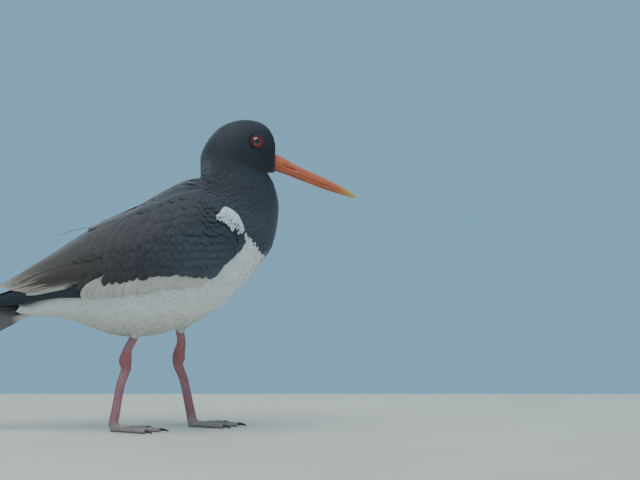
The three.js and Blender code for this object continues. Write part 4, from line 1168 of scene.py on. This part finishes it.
def settled(name, draft, material=None):
    """The draft's mesh with its modifiers worked out, as an object of its own."""
    bpy.context.view_layer.update()
    mesh = bpy.data.meshes.new_from_object(draft.evaluated_get(bpy.context.evaluated_depsgraph_get()))
    bpy.data.objects.remove(draft)
    if material is not None:
        mesh.materials.clear()
        mesh.materials.append(material)
    made = bpy.data.objects.new(name, mesh)
    scene.collection.objects.link(made)
    return made


shins = {}
for word, leg in LEGS.items():
    side, (bx, bz), (ax, az), (fx, fz) = leg["side"], leg["belly"], leg["ankle"], leg["foot"]
    hip, ankle, foot = (v * side for v in leg["spread"])
    shin = [
        (bx + 2.4, hip, bz + 8, 3.4, 2.9),
        (bx + 0.6, hip, bz + 3, 3.6, 3.0),
        (bx - 0.5, hip, bz - 1, 3.6, 3.0),
        (ax + 2.4, (hip + ankle) / 2, (bz + az) / 2, 3.8, 3.2),
        (ax + 0.6, ankle, az + 3, 5.0, 4.0),
        (ax, ankle, az - 2, 5.5, 4.2),
        (ax - 0.4 * side, ankle, az - 8, 4.2, 3.1),
        (ax * 0.6 + fx * 0.4, ankle * 0.6 + foot * 0.4, az * 0.6 + fz * 0.4, 3.8, 2.75),
        (ax * 0.2 + fx * 0.8, ankle * 0.2 + foot * 0.8, az * 0.2 + fz * 0.8, 3.9, 2.9),
        (fx, foot, fz, 4.2, 3.5),
        (fx + 1.2, foot, fz - 4.6, 4.7, 4.3),
        (fx + 1.6, foot, 0.4, 4.1, 3.7),
    ]
    shins[word] = shin
    forms = [flattened(shin, *SHIN_GRID)]
    for _, turn, length in TOES:
        deep, wide = TOE_HALF_HEIGHT, TOE_HALF_WIDTH
        joints = [
            toe_place(leg, turn, 0, deep + 1, deep + 1.2, wide * 1.1),
            toe_place(leg, turn, TOE_ROOT * 0.5, deep + 0.4, deep + 0.6, wide),
            toe_place(leg, turn, TOE_ROOT, deep, deep + 0.1, wide * 0.96),
        ]
        for share, thick in zip(TOE_SHARES, TOE_THICK):
            d = TOE_ROOT + (length - TOE_ROOT) * share
            joints.append(toe_place(leg, turn, d, deep * thick, deep * thick, wide * thick))
        forms.append(flattened(joints, *TOE_GRID))
    points, faces, start = [], [], 0
    for form_points, form_faces in forms:
        points.append(form_points)
        faces += [f + start for f in form_faces]
        start += len(form_points)
    rough = mesh_piece(f"leg_draft_{word}", np.concatenate(points) * MM, faces, leg_material)
    remesh = rough.modifiers.new("merge", "REMESH")
    remesh.mode = "VOXEL"
    remesh.voxel_size = VOXEL
    ease = rough.modifiers.new("ease", "SMOOTH")
    ease.factor = EASE_SHARE
    ease.iterations = EASE_ROUNDS
    whole_leg = settled(f"leg_{word}", rough, leg_material)
    for polygon in whole_leg.data.polygons:
        polygon.use_smooth = True
    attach(whole_leg, "root")
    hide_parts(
        f"shank_{word}", f"tarsus_{word}", f"foot_{word}",
        *(f"toe_{name}_{word}" for name, _, _ in TOES),
    )
    for name, turn, length in TOES:
        rows = [toe_place(leg, turn, length + beyond, *rest) for beyond, *rest in CLAW_ROWS]
        points, faces = flattened(rows, *CLAW_GRID)
        claw = mesh_piece(f"claw_horn_{name}_{word}", points * MM, faces, claw_material)
        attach(claw, "root")
        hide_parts(f"claw_{name}_{word}")

# The scutes are thin horny plates in rows along the toes and down the front of each
# tarsus. A Geometry Nodes tree sets one on every point of the rows, turned and sized
# by the point's own attributes.
SCUTE_STEP, SCUTE_LONG, SCUTE_THICK, SCUTE_SUNK, SCUTE_SEED = 1.9, 1.2, 0.34, 0.12, 5
SCUTE_UNEVEN, SCUTE_FROM, SCUTE_SHORT, SCUTE_WIDE = (0.1, 0.12, 0.1), 7.0, 1.5, 0.74
# the rows down the tarsus: their turns from the front, the rows of the shin they run
# over and their step there, and the length and width of a plate
TARSUS_TURNS, TARSUS_FROM, TARSUS_TO, TARSUS_STEP = (-0.62, 0.0, 0.62), 5.7, 8.7, 0.155
TARSUS_LONG, TARSUS_WIDE, TARSUS_SUNK = 1.25, 1.15, SCUTE_SUNK + 0.1
SOCKETS = {
    "Geometry": "NodeSocketGeometry", "Radius": "NodeSocketFloat", "Uneven": "NodeSocketVector",
    "Seed": "NodeSocketInt", "Material": "NodeSocketMaterial",
}
tree = bpy.data.node_groups.new("scutes", "GeometryNodeTree")
for name, kind in SOCKETS.items():
    tree.interface.new_socket(name, in_out="INPUT", socket_type=kind)
tree.interface.new_socket("Geometry", in_out="OUTPUT", socket_type="NodeSocketGeometry")
rows_in = Wire(tree).node("NodeGroupInput", out="Geometry")
radius, uneven, seed, horn = (rows_in.other(name) for name in ("Radius", "Uneven", "Seed", "Material"))
plate = radius.node("GeometryNodeMeshUVSphere", {"Segments": 14, "Rings": 8, "Radius": radius})
turned, sized = (
    radius.node("GeometryNodeInputNamedAttribute", {"Name": name}, data_type="FLOAT_VECTOR")
    for name in ("turn", "size")
)
even, ample = (
    radius.node("ShaderNodeVectorMath", {0: (1.0, 1.0, 1.0), 1: uneven}, operation=operation)
    for operation in ("SUBTRACT", "ADD")
)
varied = {"Min": even, "Max": ample, "Seed": seed}
varied = radius.node("FunctionNodeRandomValue", varied, data_type="FLOAT_VECTOR")
scaled = radius.node("ShaderNodeVectorMath", {0: sized, 1: varied}, operation="MULTIPLY")
placed = {"Points": rows_in, "Instance": plate, "Rotation": turned, "Scale": scaled}
placed = radius.node("GeometryNodeInstanceOnPoints", placed)
solid = placed.node("GeometryNodeRealizeInstances", {"Geometry": placed})
faired = solid.node("GeometryNodeSetShadeSmooth", {"Geometry": solid})
skinned = faired.node("GeometryNodeSetMaterial", {"Geometry": faired, "Material": horn})
skinned.node("NodeGroupOutput", {"Geometry": skinned})

for word, leg in LEGS.items():
    places, alongs, outs, sizes = [], [], [], []
    for _, turn, length in TOES:
        ahead, aside = toe_way(leg, turn)
        for d in np.arange(SCUTE_FROM, length - SCUTE_SHORT, SCUTE_STEP):
            share = (d - TOE_ROOT) / (length - TOE_ROOT)
            thick = np.interp(share, (0, *TOE_SHARES), (1.0, *TOE_THICK))
            top = 2 * TOE_HALF_HEIGHT * thick + 0.35 * max(0.0, -share) / 0.3
            places.append(toe_place(leg, turn, d, top - SCUTE_SUNK))
            alongs.append((ahead, aside, -0.1))
            outs.append((0.1 * ahead, 0.1 * aside, 1.0))
            sizes.append((SCUTE_LONG, SCUTE_WIDE * TOE_HALF_WIDTH * thick, SCUTE_THICK))
    rows = shins[word]
    # the limb's turn is measured from its own up, which faces back on some rows
    front = math.pi if limb_point(rows, 7.0, 0.0)[0] < limb_point(rows, 7.0, math.pi)[0] else 0.0
    for turn in TARSUS_TURNS:
        t = np.arange(TARSUS_FROM + (0.15 if turn == 0 else 0.0), TARSUS_TO, TARSUS_STEP)
        at = limb_point(rows, t, front + turn, -TARSUS_SUNK)
        places += list(at)
        outs += list(limb_point(rows, t, front + turn, 1.0) - at)
        alongs += list(limb_point(rows, t + 0.1, front + turn, -SCUTE_SUNK) - at)
        sizes += [(TARSUS_LONG, TARSUS_WIDE, SCUTE_THICK)] * len(t)
    along, out = unit(np.array(alongs)), unit(np.array(outs))
    across = unit(np.cross(out, along))
    along = np.cross(across, out)
    turns = [Matrix(np.stack(axes, -1).tolist()).to_euler() for axes in zip(along, across, out)]
    line = bpy.data.meshes.new(f"scute_rows_{word}")
    line.from_pydata((np.array(places) * MM).tolist(), [], [])
    for name, values in (("turn", turns), ("size", sizes)):
        attribute = line.attributes.new(name, "FLOAT_VECTOR", "POINT")
        attribute.data.foreach_set("vector", np.array([tuple(v) for v in values], np.float32).reshape(-1))
    draft = bpy.data.objects.new(f"scute_rows_{word}", line)
    scene.collection.objects.link(draft)
    grown = draft.modifiers.new("scutes", "NODES")
    grown.node_group = tree
    wanted = {"Radius": MM, "Uneven": SCUTE_UNEVEN, "Seed": SCUTE_SEED, "Material": leg_material}
    for item in tree.interface.items_tree:
        if item.in_out == "INPUT" and item.name in wanted:
            grown[item.identifier] = wanted[item.name]
    scutes = settled(f"scutes_{word}", draft)
    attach(scutes, "root")
